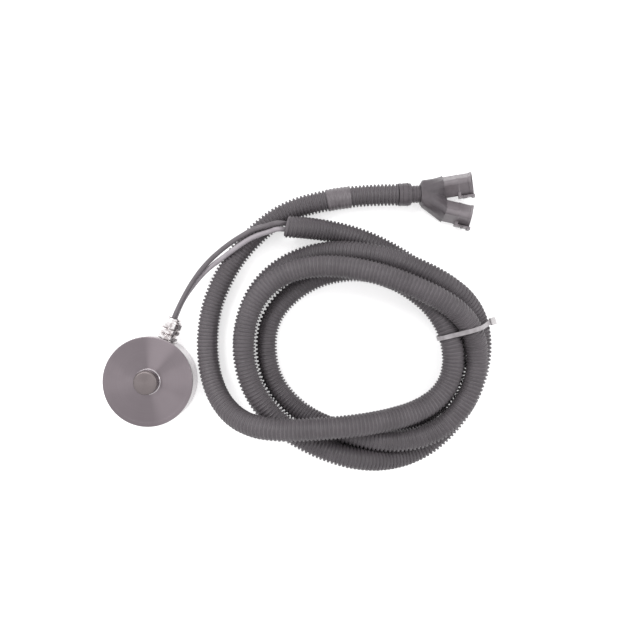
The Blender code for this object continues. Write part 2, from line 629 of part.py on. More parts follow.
def make_gland():
    frame = gland_frame()
    make_seal_and_lock_nut(frame)
    make_gland_body(frame)
    make_gland_insert(frame)
    make_gland_nut(frame)


# Cables and conduit


def conduit_points():
    dense = evened(smooth_curve(picture_route(CONDUIT_ROUTE_PX)), CONDUIT_EVENING)
    return even_points(dense, CONDUIT_STEP)


def make_conduit():
    tube("conduit", conduit_points(), CONDUIT_RADIUS, "conduit_plastic", 3)


def make_cable(name, route, level, material, sideways):
    """A cable from the gland's face to the open mouth of the conduit."""
    frame = gland_frame()
    start = INSERT_END + SEAT_GAP
    exits = [frame @ Vector((0.0, level, start + reach)) for reach in (0.0, EXIT_RUN)]
    mouth = conduit_points()
    along = (mouth[1] - mouth[0]).normalized()
    across = Vector((0.0, 0.0, 1.0)).cross(along).normalized()
    ends = [mouth[0] - along * (MOUTH_GAP + back) + across * sideways for back in (MOUTH_RUN, 0.0)]
    dense = smooth_curve(exits + picture_route(route) + ends)
    return tube(name, even_points(dense, CABLE_STEP), CABLE_RADIUS, material, 2)


# Far end of the conduit


def along_frame(place, direction):
    """Matrix whose +Z runs along a direction, with +Y as near up as it can be."""
    outward = direction.normalized()
    side = Vector((0.0, 0.0, 1.0)).cross(outward).normalized()
    up = outward.cross(side)
    matrix = Matrix((side, up, outward)).transposed().to_4x4()
    matrix.translation = place
    return matrix


def tail_frame():
    points = conduit_points()
    return along_frame(points[-1], points[-1] - points[-2])


def make_collar_and_neck():
    frame = tail_frame()
    low = SEAT_GAP
    high = low + COLLAR_LENGTH
    ledge = low + COLLAR_FLOOR
    bore = NECK_RADIUS + SEAT_GAP
    throat = NECK_RADIUS - COLLAR_LIP
    profile = [(throat, low), (COLLAR_RADIUS - COLLAR_LIP, low), (COLLAR_RADIUS, low + COLLAR_LIP)]
    profile += arc((COLLAR_RADIUS - COLLAR_ROUND, high - COLLAR_ROUND), COLLAR_ROUND, 0, 90, 4)
    profile += [(bore, high), (bore, ledge), (throat, ledge)]
    collar = turned("conduit_collar", profile, 48, "boot_plastic", closed=True)
    name_and_place(collar, "conduit_collar", frame)
    start = ledge + SEAT_GAP
    end = high + NECK_LENGTH
    inner = NECK_RADIUS - NECK_WALL
    profile = [(inner, start), (NECK_RADIUS, start), (NECK_RADIUS, end), (inner, end)]
    neck = turned("neck_sleeve", profile, 40, "boot_plastic", closed=True)
    name_and_place(neck, "neck_sleeve", frame)


def make_label():
    """A blank film label wrapped once around the conduit."""
    points = conduit_points()
    centre = picture_point(*LABEL_CENTRE_PX, CONDUIT_RADIUS)
    nearest = min(range(1, len(points) - 1), key=lambda index: (points[index] - centre).length)
    span = points[nearest + 1] - points[nearest]
    frame = along_frame((points[nearest] + points[nearest + 1]) / 2.0, span)
    inner = CONDUIT_RADIUS + SEAT_GAP
    outer = inner + LABEL_THICKNESS
    half = LABEL_LENGTH / 2.0
    profile = [(inner, -half), (outer, -half), (outer, half), (inner, half)]
    name_and_place(turned("label_sleeve", profile, 40, "label_film", closed=True), "label_sleeve", frame)


# Connectors and boot


def shell_outline(grow=0.0, steps=6):
    """Outline of the three-way shell: a triangle with large round corners, one corner at local +Y."""
    outline = []
    for corner in (90.0, 210.0, 330.0):
        angle = math.radians(corner)
        centre = (SHELL_REACH * math.cos(angle), SHELL_REACH * math.sin(angle))
        outline += arc(centre, SHELL_CORNER + grow, corner - 60.0, corner + 60.0, steps)
    return outline


def latch_outline(extra=0.0):
    """Section of the latch arm, which runs along the flat side opposite the corner at +Y."""
    near = -(SHELL_REACH * math.sin(math.radians(30.0)) + SHELL_CORNER + LATCH_GAP)
    far = near - LATCH_THICKNESS - extra
    side = LATCH_WIDTH / 2
    return [(-side, far), (side, far), (side, near), (-side, near)]


def lean_direction(roll):
    """Upward direction in the section's own plane."""
    return Matrix.Rotation(-roll, 2) @ Vector((0.0, 1.0))


def outline_section(outline, height, lean=(0.0, 0.0)):
    """An outline at a height; with a lean its plane is tilted by that much in x and in y."""
    return [Vector((x, y, height + x * lean[0] + y * lean[1])) for x, y in outline]


def connector_frame(rear_px, azimuth, pitch, roll):
    """Place of a connector resting on the surface, with +Z along its axis and its own up rolled."""
    level = math.cos(pitch)
    axis = Vector((math.cos(azimuth) * level, math.sin(azimuth) * level, math.sin(pitch)))
    turn = along_frame(Vector((0.0, 0.0, 0.0)), axis) @ Matrix.Rotation(roll, 4, "Z")
    boot_end = outline_section(shell_outline(BOOT_WALL), BOOT_OVERLAP)
    hook = outline_section(latch_outline(LATCH_HOOK), SHELL_LENGTH + LATCH_OVERHANG)
    rim = outline_section(shell_outline(RIM_GROWTH), SHELL_LENGTH)
    height = CONNECTOR_FLOOR_GAP - min((turn @ point).z for point in boot_end + hook + rim)
    return Matrix.Translation(picture_point(*rear_px, height)) @ turn


def pin_places():
    turns = [math.radians(90.0 + 120.0 * index) for index in range(3)]
    return [Vector((PIN_CIRCLE * math.cos(turn), PIN_CIRCLE * math.sin(turn))) for turn in turns]


def section_block(name, outline, low, high, material):
    """A straight block with one outline, from one height to another."""
    bm = bmesh.new()
    add_loft(bm, [outline_section(outline, low), outline_section(outline, high)])
    return finish(name, bm, material)


def make_shell(name, frame, roll):
    """The hollow shell with a stepped rim, cut back at the top, and its latch arm."""
    rim_at = SHELL_LENGTH - RIM_LENGTH
    lean = lean_direction(roll) * -math.tan(MOUTH_CUT_BACK)
    outer = shell_outline()
    rim = shell_outline(RIM_GROWTH)
    bm = bmesh.new()
    add_loft(bm, [outline_section(outer, 0.0), outline_section(outer, rim_at, lean),
                  outline_section(rim, rim_at + RIM_GROWTH, lean), outline_section(rim, SHELL_LENGTH, lean)])
    shell = finish(name, bm, "shell_plastic")
    inner = shell_outline(-SHELL_WALL)
    past_rim = SHELL_LENGTH + SHELL_REACH
    for low, high in ((SHELL_LENGTH - MOUTH_DEPTH, past_rim), (-CUT_REACH, REAR_SEAL_THICKNESS + SEAT_GAP)):
        cut(shell, section_block("hollow", inner, low, high, "shell_plastic"))
    arm_end = SHELL_LENGTH + LATCH_OVERHANG
    arm_start = arm_end - LATCH_LENGTH
    leg = [(x, y + LATCH_GAP + SHELL_WALL / 2) for x, y in latch_outline(SHELL_WALL / 2)]
    for outline, low, high in ((latch_outline(), arm_start, arm_end),
                               (leg, arm_start, arm_start + LATCH_LEG),
                               (latch_outline(LATCH_HOOK), arm_end - LATCH_LEG, arm_end)):
        cut(shell, section_block("latch", outline, low, high, "shell_plastic"), "UNION")
    name_and_place(shell, name, frame)


def make_wedge(name, frame, wedge_at):
    """The plate that locks the contacts, with a hole for each pin."""
    outline = shell_outline(-SHELL_WALL - SEAT_GAP)
    wedge = section_block(name, outline, wedge_at, wedge_at + WEDGE_THICKNESS, "wedge_plastic")
    start = wedge_at - CUT_REACH
    end = wedge_at + WEDGE_THICKNESS + CUT_REACH
    radius = PIN_RADIUS + SEAT_GAP
    for place in pin_places():
        profile = [(0.0, start), (radius, start), (radius, end), (0.0, end)]
        hole = turned("hole", profile, 12, "wedge_plastic")
        hole.location = (place.x, place.y, 0.0)
        cut(wedge, hole)
    name_and_place(wedge, name, frame)


def make_connector(letter, frame, roll):
    node = "connector_%s_" % letter
    make_shell(node + "shell", frame, roll)
    start = SHELL_LENGTH - MOUTH_DEPTH + SEAT_GAP
    make_wedge(node + "wedge", frame, start)
    top = start + PIN_LENGTH
    for index, place in enumerate(pin_places()):
        profile = [(0.0, start), (PIN_RADIUS, start), (PIN_RADIUS, top - PIN_RADIUS),
                   (PIN_RADIUS * PIN_TIP_SHARE, top), (0.0, top)]
        pin = turned("pin", profile, 12, "pin_plate")
        name_and_place(pin, node + "pin_%d" % (index + 1), frame @ Matrix.Translation(place.to_3d()))
    outline = shell_outline(-SHELL_WALL - SEAT_GAP)
    seal = section_block("seal", outline, 0.0, REAR_SEAL_THICKNESS, "black_rubber")
    name_and_place(seal, node + "rear_seal", frame)


def reach_at(outline, angle):
    """Distance from the middle of a closed outline to its line, in one direction."""
    ahead = Vector((math.cos(angle), math.sin(angle)))
    reach = 0.0
    for start, end in zip(outline, outline[1:] + outline[:1]):
        first = Vector(start)
        side = Vector(end) - first
        across = ahead.cross(side)
        if across == 0.0:
            continue
        share = first.cross(ahead) / across
        distance = first.cross(side) / across
        if -OUTLINE_SLACK <= share <= 1.0 + OUTLINE_SLACK and distance > reach:
            reach = distance
    return reach


def root_reach(angle, width, height):
    """Distance to the line of a squared ellipse in one direction."""
    x = abs(math.cos(angle)) / (width / 2.0)
    y = abs(math.sin(angle)) / (height / 2.0)
    return (x ** BOOT_ROOT_POWER + y ** BOOT_ROOT_POWER) ** (-1.0 / BOOT_ROOT_POWER)


def boot_branch(frame, roll, root):
    """One arm of the boot: from the neck's face, over a short shoulder, to a connector's rear end."""
    angles = [math.tau * index / BOOT_SIDES for index in range(BOOT_SIDES)]
    mouth = 2.0 * (NECK_RADIUS + BOOT_MOUTH_GROWTH)
    sections = []
    for width, height, shift in ((mouth, mouth, 0.0), (BOOT_ROOT_WIDTH, BOOT_ROOT_HEIGHT, BOOT_SHOULDER)):
        reaches = [root_reach(angle, width, height) for angle in angles]
        sections.append([root @ Vector((reach * math.cos(angle), reach * math.sin(angle), shift))
                         for reach, angle in zip(reaches, angles)])
    end = shell_outline(BOOT_WALL)
    local = [angle - roll for angle in angles]
    reaches = [reach_at(end, angle) for angle in local]
    sections.append([frame @ Vector((reach * math.cos(angle), reach * math.sin(angle), BOOT_OVERLAP))
                     for reach, angle in zip(reaches, local)])
    bm = bmesh.new()
    add_loft(bm, sections)
    return finish("branch", bm, "boot_plastic")


def make_boot(branches):
    """The moulded Y boot, with a pocket for the rear end of each connector."""
    start = SEAT_GAP + COLLAR_LENGTH + NECK_LENGTH + SEAT_GAP
    root = tail_frame() @ Matrix.Translation((0.0, 0.0, start))
    arms = [boot_branch(frame, roll, root) for frame, roll in branches]
    boot = cut(arms[0], arms[1], "UNION")
    for frame, roll in branches:
        pocket = section_block("pocket", shell_outline(SEAT_GAP), -SEAT_GAP, SHELL_LENGTH, "boot_plastic")
        pocket.matrix_world = frame
        cut(boot, pocket)
    name_and_place(boot, "y_boot", Matrix.Identity(4))


# Cable tie


def convex_outline(points):
    """Counter-clockwise convex outline around a set of plane points."""
    ordered = sorted(set(points))
    hull = []
    for run in (ordered, list(reversed(ordered))):
        part = []
        for point in run:
            while len(part) >= 2:
                ahead = (part[-1][0] - part[-2][0], part[-1][1] - part[-2][1])
                turn = (point[0] - part[-2][0], point[1] - part[-2][1])
                if ahead[0] * turn[1] - ahead[1] * turn[0] > 0:
                    break
                part.pop()
            part.append(point)
        hull += part[:-1]
    return hull


def tie_crossings(left, across):
    """Where the conduit's centre line crosses the tie's upright plane, and its direction there."""
    normal = Vector((0.0, 0.0, 1.0)).cross(across)
    points = conduit_points()
    found = []
    for start, end in zip(points, points[1:]):
        before = (start - left).dot(normal)
        after = (end - left).dot(normal)
        if before * after > 0:
            continue
        place = start.lerp(end, before / (before - after))
        if TIE_SPAN[0] < (place - left).dot(across) < TIE_SPAN[1]:
            ahead = (end - start).normalized()
            found.append((place - left, ahead, abs(ahead.dot(normal))))
    return found


def crossing_outline(crossing, across, grow):
    """The strand's outline in the tie's plane: a circle, drawn out where the strand runs aslant."""
    place, ahead, squareness = crossing
    lean = math.atan2(ahead.z, ahead.dot(across))
    points = []
    for x, y in arc((0.0, 0.0), CONDUIT_RADIUS + grow, 0, 345, 23):
        x /= squareness
        points.append((round(place.dot(across) + x * math.cos(lean) - y * math.sin(lean), 7),
                       round(place.z + x * math.sin(lean) + y * math.cos(lean), 7)))
    return points


def make_tie():
    left = picture_point(*TIE_LEFT_PX, CONDUIT_RADIUS * 3)
    right = picture_point(*TIE_RIGHT_PX, CONDUIT_RADIUS)
    left.z = 0.0
    right.z = 0.0
    across = (right - left).normalized()
    crossings = tie_crossings(left, across)
    outlines = []
    for grow in (TIE_SLACK, TIE_SLACK + TIE_THICKNESS):
        points = []
        for crossing in crossings:
            points += crossing_outline(crossing, across, grow)
        outlines.append(convex_outline(points))
    inner, outer = outlines
    bm = bmesh.new()
    add_loft(bm, [outline_section(outer, -TIE_WIDTH / 2), outline_section(outer, TIE_WIDTH / 2)])
    strap = finish("strap", bm, "tie_nylon")
    bm = bmesh.new()
    add_loft(bm, [outline_section(inner, -TIE_WIDTH), outline_section(inner, TIE_WIDTH)])
    hole = finish("strap_hole", bm, "tie_nylon")
    cut(strap, hole)
    outermost = max(outer)
    head = rounded_outline(rectangle(TIE_HEAD[2], TIE_HEAD[1]), TIE_HEAD_CORNER, 3)
    bm = bmesh.new()
    shift = (outermost[0] + TIE_HEAD[2] / 2 - TIE_THICKNESS / 2, outermost[1] + TIE_HEAD[1] / 2)
    moved = [(x + shift[0], y + shift[1]) for x, y in head]
    add_loft(bm, [outline_section(moved, -TIE_HEAD[0] / 2), outline_section(moved, TIE_HEAD[0] / 2)])
    cut(strap, finish("head", bm, "tie_nylon"), "UNION")
    up = Vector((0.0, 0.0, 1.0))
    frame = Matrix((across, up, across.cross(up))).transposed().to_4x4()
    frame.translation = left
    name_and_place(strap, "cable_tie", frame)


def build():
    clear_scene()
    make_disc()
    for letter, azimuths in GAUGE_AZIMUTHS.items():
        make_gauges(letter, azimuths)
    make_board()
    make_inner_lead("inner_lead_a", 1.0, -LEAD_SPREAD)
    make_inner_lead("inner_lead_b", -1.0, LEAD_SPREAD)
    make_gland()
    make_cable("cable_dark", CABLE_DARK_ROUTE_PX, CABLE_OFFSET, "dark_jacket", MOUTH_SPREAD)
    make_cable("cable_light", CABLE_LIGHT_ROUTE_PX, -CABLE_OFFSET, "grey_jacket", -MOUTH_SPREAD)
    make_conduit()
    make_label()
    make_collar_and_neck()
    branches = []
    for letter, rear_px, azimuth, pitch, roll in (
            ("a", CONNECTOR_A_REAR_PX, CONNECTOR_A_AZIMUTH, CONNECTOR_A_PITCH, CONNECTOR_A_ROLL),
            ("b", CONNECTOR_B_REAR_PX, CONNECTOR_B_AZIMUTH, CONNECTOR_B_PITCH, CONNECTOR_B_ROLL)):
        frame = connector_frame(rear_px, azimuth, pitch, roll)
        make_connector(letter, frame, roll)
        branches.append((frame, roll))
    make_boot(branches)
    make_tie()


build()
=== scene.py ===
# %% [markdown]
# # Two-channel compression load cell with its conduit harness
# A turned steel disc with a load button measures weight in compression. Two thin cables, one for each of its
# two strain-gauge bridges, leave through a metal cable gland, run into the open mouth of a corrugated conduit
# and reach two three-way connectors in a Y boot. The conduit lies loosely coiled and one nylon tie holds it.
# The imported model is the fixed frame, and every piece below takes its place from it.

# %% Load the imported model
import math

import bmesh
import bpy
import numpy as np
from mathutils import Matrix, Vector


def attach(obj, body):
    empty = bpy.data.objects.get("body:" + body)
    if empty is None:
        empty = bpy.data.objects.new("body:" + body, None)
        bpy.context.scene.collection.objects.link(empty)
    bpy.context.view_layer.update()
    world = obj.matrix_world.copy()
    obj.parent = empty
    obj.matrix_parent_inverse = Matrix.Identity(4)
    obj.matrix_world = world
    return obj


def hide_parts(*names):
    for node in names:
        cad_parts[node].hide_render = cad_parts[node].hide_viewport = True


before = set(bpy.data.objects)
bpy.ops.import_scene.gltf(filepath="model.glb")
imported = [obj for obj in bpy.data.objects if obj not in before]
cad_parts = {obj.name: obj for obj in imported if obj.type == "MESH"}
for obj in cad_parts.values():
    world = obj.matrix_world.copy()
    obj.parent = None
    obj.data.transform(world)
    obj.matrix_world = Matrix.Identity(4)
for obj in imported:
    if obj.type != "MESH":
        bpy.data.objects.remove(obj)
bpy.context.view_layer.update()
print("CAD nodes:", len(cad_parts))

# %% [markdown]
# ## Shared sizes
# Blender works in metres, so a size in millimetres is written as a number times MM. Two solids that belong
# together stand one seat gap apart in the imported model, and the finer pieces keep that gap. Every other size
# is named in the cell of the piece that needs it first. It repeats the driving size of its solid, or differs
# from it by a few tenths of a millimetre where the picture shows a finer form.

# %% Shared sizes
MM = 0.001
SEAT_GAP = 0.3 * MM
print("seat gap in mm:", SEAT_GAP / MM)

# %% [markdown]
# ## Camera
# The picture is taken straight down from about half a metre, with the whole harness spread on a pale sheet.
# A camera on the same axis and at the same height gives the same overlaps between the stacked turns.

# %% Camera
VIEW_CENTRE_PX = (314.0, 314.0)
VIEW_HEIGHT = 500 * MM
VIEW_AXIS = (139.6 * MM, 56.9 * MM)
FLOOR_MM_PER_PX = 0.875
PICTURE_WIDTH_PX = 628
SENSOR_WIDTH = 36.0


def make_camera():
    """A camera straight above the harness, whose picture is as wide on the table as the real one."""
    data = bpy.data.cameras.new("camera")
    data.sensor_width = SENSOR_WIDTH
    data.lens = data.sensor_width * VIEW_HEIGHT / (PICTURE_WIDTH_PX * FLOOR_MM_PER_PX * MM)
    data.clip_start = 0.01
    camera = bpy.data.objects.new("camera", data)
    camera.location = (*VIEW_AXIS, VIEW_HEIGHT)
    bpy.context.collection.objects.link(camera)
    bpy.context.scene.camera = camera
    return camera


camera = make_camera()
print("camera lens in mm:", round(camera.data.lens, 2))

# %% [markdown]
# ## Lines through chosen points
# A tube that lies freely has no simple formula, so its line is drawn through listed points on the
# picture. Blender's own curve objects would do for a smooth hose, but the ridges need exact distances along
# the line. So a centripetal curve is worked out here, which passes through every point without loops, and a
# short running average takes out the small kinks that listed points leave.

# %% Route helpers
def picture_point(px, py, height):
    """Turn a picture position and a height into a place in the part's own frame."""
    scale = FLOOR_MM_PER_PX * MM * (1.0 - height / VIEW_HEIGHT)
    x = (px - VIEW_CENTRE_PX[0]) * scale + VIEW_AXIS[0]
    y = (VIEW_CENTRE_PX[1] - py) * scale + VIEW_AXIS[1]
    return Vector((x, y, height))


def picture_route(points):
    """Places of a row of route points, each given as x and y in pixels and a height in mm."""
    return [picture_point(px, py, height * MM) for px, py, height in points]


def smooth_curve(points, per_span=24):
    """Dense points on a centripetal curve that passes through every route point."""
    places = [np.array(point, dtype=float) for point in points]
    places.insert(0, 2.0 * places[0] - places[1])
    places.append(2.0 * places[-1] - places[-2])
    dense = []
    for first, start, end, last in zip(places, places[1:], places[2:], places[3:]):
        knots = [0.0]
        for one, other in ((first, start), (start, end), (end, last)):
            knots.append(knots[-1] + math.sqrt(float(np.linalg.norm(other - one))))
        for t in np.linspace(knots[1], knots[2], per_span, endpoint=False):
            a1 = (first * (knots[1] - t) + start * (t - knots[0])) / (knots[1] - knots[0])
            a2 = (start * (knots[2] - t) + end * (t - knots[1])) / (knots[2] - knots[1])
            a3 = (end * (knots[3] - t) + last * (t - knots[2])) / (knots[3] - knots[2])
            b1 = (a1 * (knots[2] - t) + a2 * (t - knots[0])) / (knots[2] - knots[0])
            b2 = (a2 * (knots[3] - t) + a3 * (t - knots[1])) / (knots[3] - knots[1])
            dense.append((b1 * (knots[2] - t) + b2 * (t - knots[1])) / (knots[2] - knots[1]))
    dense.append(places[-2])
    return np.array(dense)


def lengths_along(dense):
    """Distance of every point of a dense curve from its start."""
    steps = np.linalg.norm(np.diff(dense, axis=0), axis=1)
    return np.concatenate([[0.0], np.cumsum(steps)])


def places_at(dense, wanted):
    """Places at the wanted distances along a dense curve."""
    along = lengths_along(dense)
    return np.stack([np.interp(wanted, along, dense[:, axis]) for axis in range(3)], axis=1)


def even_points(dense, step):
    """Points at equal distances along a dense curve, about one step apart."""
    total = lengths_along(dense)[-1]
    count = max(2, int(math.ceil(total / step)) + 1)
    return places_at(dense, np.linspace(0.0, total, count))


def evened(dense, reach, step=1.0 * MM):
    """The curve as a weighted running average over a reach on each side; its ends stay where they are."""
    even = even_points(dense, step)
    half = int(reach / step)
    weights = np.hanning(2 * half + 3)[1:-1]
    weights /= weights.sum()
    before = 2.0 * even[0] - even[half:0:-1]
    after = 2.0 * even[-1] - even[-2:-half - 2:-1]
    longer = np.concatenate([before, even, after])
    return np.stack([np.convolve(longer[:, axis], weights, mode="valid") for axis in range(3)], axis=1)


def along_frame(place, direction):
    """Matrix whose +Z runs along a direction, with +Y as near up as it can be."""
    outward = Vector(direction).normalized()
    side = Vector((0.0, 0.0, 1.0)).cross(outward).normalized()
    up = outward.cross(side)
    matrix = Matrix((side, up, outward)).transposed().to_4x4()
    matrix.translation = place
    return matrix


print("a picture pixel on the table in mm:", FLOOR_MM_PER_PX)

# %% [markdown]
# ## Route of the conduit
# The coil is one tube that passes over and under itself. Each point has its place in pixels and the height of
# the centre line in millimetres. The run starts at the open mouth, goes clockwise around the coil four times
# and ends at the collar. Heights can't be seen from above, so a strand that crosses over another one is
# raised by one diameter there and comes down again over a hand's width.

# %% Route of the conduit
CONDUIT_ROUTE_PX = [
    (286.0, 226.5, 24.4), (300.0, 227.2, 19.0), (318.5, 229.5, 12.0), (337.6, 232.4, 9.8),
    (357.0, 237.4, 9.5), (375.0, 244.5, 9.5), (391.0, 253.0, 9.5), (404.0, 261.0, 9.5),
    (418.0, 270.5, 9.5), (430.5, 283.0, 9.5), (440.2, 296.5, 9.5), (448.0, 310.5, 10.4),
    (453.8, 326.0, 11.2), (457.2, 344.0, 11.2), (456.0, 366.0, 10.3), (448.4, 387.6, 9.5),
    (437.0, 404.5, 9.5), (422.0, 418.5, 9.5), (404.0, 429.0, 9.5), (384.0, 437.0, 9.5),
    (362.0, 444.0, 9.5), (341.0, 448.6, 9.5), (321.0, 446.6, 9.5), (305.0, 440.6, 9.5),
    (288.0, 431.4, 9.5), (274.2, 419.6, 9.5), (261.9, 405.4, 9.5), (251.6, 388.6, 9.5),
    (245.2, 370.0, 9.5), (242.6, 348.0, 9.5), (244.0, 328.0, 9.5), (249.0, 308.0, 9.5),
    (258.8, 289.0, 9.5), (272.0, 274.6, 9.5), (287.0, 264.0, 9.5), (304.0, 256.8, 10.2),
    (323.0, 252.4, 13.6), (341.0, 251.4, 19.8), (359.0, 252.2, 25.4), (377.5, 255.4, 28.0),
    (397.0, 260.8, 28.4), (415.5, 267.8, 28.4), (434.5, 277.0, 28.4), (453.0, 288.8, 27.2),
    (467.6, 302.5, 21.6), (477.0, 319.3, 14.2), (481.0, 340.0, 11.0), (480.2, 360.0, 10.2),
    (474.6, 382.0, 9.5), (462.6, 406.5, 9.5), (447.0, 427.0, 9.5), (433.7, 440.0, 9.5),
    (416.0, 450.8, 11.0), (397.8, 457.2, 15.8), (380.0, 459.9, 21.6), (361.0, 459.4, 27.0),
    (342.8, 455.8, 28.4), (323.8, 449.4, 28.2), (305.8, 441.0, 28.2), (290.0, 431.4, 28.2),
    (276.4, 419.8, 28.2), (264.0, 405.4, 28.2), (253.4, 389.0, 28.2), (245.8, 368.0, 28.2),
    (243.4, 346.0, 28.2), (245.6, 326.0, 28.2), (251.2, 306.4, 28.2), (261.3, 291.0, 28.4),
    (274.6, 279.0, 28.6), (290.0, 271.2, 28.8), (310.0, 266.6, 30.0), (330.0, 265.6, 32.4),
    (350.0, 267.2, 35.2), (370.0, 271.2, 38.0), (390.0, 277.0, 40.4), (410.0, 284.4, 42.6),
    (430.0, 293.6, 43.8), (448.0, 303.4, 43.8), (462.0, 314.2, 41.6), (471.4, 328.0, 35.6),
    (477.0, 345.0, 30.2), (477.6, 362.0, 28.8), (473.6, 384.0, 28.2), (462.0, 406.5, 28.2),
    (446.0, 424.4, 28.2), (430.5, 434.0, 28.2), (410.0, 440.0, 28.2), (390.0, 441.2, 28.2),
    (370.0, 438.8, 28.0), (350.0, 433.6, 25.4), (332.0, 428.4, 20.0), (314.4, 421.0, 13.0),
    (300.0, 411.8, 9.6), (286.4, 399.6, 9.5), (275.4, 385.8, 9.5), (268.2, 368.0, 9.5),
    (265.7, 347.0, 9.5), (267.3, 327.0, 9.5), (273.9, 311.9, 9.5), (284.5, 299.0, 9.5),
    (299.0, 287.0, 9.5), (316.0, 277.6, 9.5), (334.0, 272.4, 9.5), (354.0, 270.2, 9.5),
    (374.0, 272.2, 11.0), (394.8, 279.4, 14.6), (412.0, 288.6, 19.4), (428.0, 301.1, 23.8),
    (440.4, 315.0, 26.8), (449.2, 333.0, 29.4), (453.8, 352.0, 29.5), (452.8, 374.0, 29.0),
    (443.5, 393.0, 29.4), (425.0, 407.6, 31.6), (404.0, 416.0, 35.4), (382.3, 421.4, 40.0),
    (362.0, 425.0, 43.8), (340.0, 427.6, 46.4), (318.0, 429.0, 46.8), (296.0, 430.2, 46.6),
    (276.0, 430.2, 46.4), (258.0, 427.8, 43.0), (241.0, 421.6, 35.4), (227.0, 410.0, 26.4),
    (216.4, 393.4, 18.6), (210.0, 373.0, 12.8), (207.2, 350.0, 10.0), (207.8, 330.0, 9.5),
    (212.0, 305.0, 9.5), (221.0, 283.0, 9.5), (235.0, 258.0, 9.5), (254.0, 236.4, 9.5),
    (274.0, 219.2, 9.5), (295.0, 208.5, 9.5), (318.0, 202.2, 9.5), (345.0, 197.5, 9.6),
    (372.0, 195.2, 10.2), (398.0, 194.8, 10.6),
]
CONDUIT_EVENING = 26 * MM

conduit_line = evened(smooth_curve(picture_route(CONDUIT_ROUTE_PX)), CONDUIT_EVENING)
conduit_length = lengths_along(conduit_line)[-1]
print("conduit length in mm:", round(conduit_length / MM, 1))

# %% [markdown]
# ## Skins from rings
# Nearly every piece here is a row of rings or outlines with a skin of four-sided faces between them. A curve
# with a bevel or a screw modifier could make some of them, but rings give each ridge and step its exact
# place. Faces are shaded smooth, and an edge stays crisp where two faces meet at more than a given angle.

# %% Skins from rings
CRISP_ANGLE = 35.0
MERGE_DISTANCE = 1e-7


def link_mesh(name, mesh, matrix=None):
    """An object with this mesh, in the scene and at its place."""
    obj = bpy.data.objects.new(name, mesh)
    bpy.context.collection.objects.link(obj)
    if matrix is not None:
        obj.matrix_world = matrix
    return obj


def crisp(mesh, degrees=CRISP_ANGLE):
    """Smooth shading with sharp edges where two faces meet at more than this angle."""
    mesh.shade_smooth()
    mesh.set_sharp_from_angle(angle=math.radians(degrees))


def ring_mesh(name, rings, matrix=None, closed_ends=True):
    """Skin a row of equal rings, given as an array of (ring, column, xyz)."""
    count, columns = rings.shape[0], rings.shape[1]
    index = np.arange(count * columns).reshape(count, columns)
    nxt = np.roll(index, -1, axis=1)
    faces = np.stack([index[:-1], nxt[:-1], nxt[1:], index[1:]], axis=-1).reshape(-1, 4).tolist()
    if closed_ends:
        faces.append(index[0][::-1].tolist())
        faces.append(index[-1].tolist())
    mesh = bpy.data.meshes.new(name)
    mesh.from_pydata(rings.reshape(-1, 3).tolist(), [], faces)
    mesh.update()
    crisp(mesh)
    return link_mesh(name, mesh, matrix)


print("crisp edges from degrees:", CRISP_ANGLE)

# %% [markdown]
# ## Turned and lofted forms
# A lathe makes the disc and the nuts, and a mould makes the shells. A turned form is half a section, spun
# around an axis, and a lofted form is a row of outlines with the same number of points. Both are built around
# their own +Z, and a matrix then puts them in place.

# %% Turned and lofted forms
def finish_mesh(name, bm, matrix=None):
    """Clean a built mesh, face it outwards and link it."""
    bmesh.ops.remove_doubles(bm, verts=bm.verts, dist=MERGE_DISTANCE)
    bmesh.ops.dissolve_degenerate(bm, edges=bm.edges, dist=MERGE_DISTANCE)
    bmesh.ops.recalc_face_normals(bm, faces=bm.faces)
    mesh = bpy.data.meshes.new(name)
    bm.to_mesh(mesh)
    bm.free()
    crisp(mesh)
    return link_mesh(name, mesh, matrix)


def arc(centre, radius, start, end, steps):
    """Points of an arc in a plane, angles in degrees."""
    points = []
    for index in range(steps + 1):
        angle = math.radians(start + (end - start) * index / steps)
        points.append((centre[0] + radius * math.cos(angle), centre[1] + radius * math.sin(angle)))
    return points


def turned(name, profile, steps, matrix=None, closed=False):
    """Spin a profile of (radius, height) points around the local +Z."""
    bm = bmesh.new()
    verts = [bm.verts.new((radius, 0.0, height)) for radius, height in profile]
    edges = [bm.edges.new(pair) for pair in zip(verts, verts[1:])]
    if closed:
        edges.append(bm.edges.new((verts[-1], verts[0])))
    bmesh.ops.spin(bm, geom=verts + edges, cent=(0, 0, 0), axis=(0, 0, 1), angle=math.tau,
                   steps=steps, use_merge=True, use_duplicate=False)
    return finish_mesh(name, bm, matrix)


def loft(name, sections, matrix=None):
    """Skin a row of equal outlines, each a list of 3-D points, and close both ends."""
    bm = bmesh.new()
    rings = [[bm.verts.new(point) for point in section] for section in sections]
    for ring, following in zip(rings, rings[1:]):
        for index in range(len(ring)):
            nxt = (index + 1) % len(ring)
            bm.faces.new((ring[index], ring[nxt], following[nxt], following[index]))
    bm.faces.new(list(reversed(rings[0])))
    bm.faces.new(rings[-1])
    return finish_mesh(name, bm, matrix)


def at_height(outline, height):
    """A flat outline, lifted to a height on its own axis."""
    return [Vector((x, y, height)) for x, y in outline]


def rectangle(width, height):
    """The four corners of an upright rectangle around the middle."""
    return [(-width / 2, -height / 2), (width / 2, -height / 2),
            (width / 2, height / 2), (-width / 2, height / 2)]


print("helpers for turned and lofted forms are ready")

# %% [markdown]
# ## Cuts and broken edges
# Holes and joints are exact Booleans between closed meshes, which leave clean lines where an approximate one
# would leave cracks. Real edges are never quite sharp, so a narrow bevel breaks them and catches a thin line
# of light. Every modifier is applied at once, so the next step always finds a finished mesh.

# %% Cuts and broken edges
EDGE_ANGLE = 40.0
SMOOTH_BELOW = 50.0


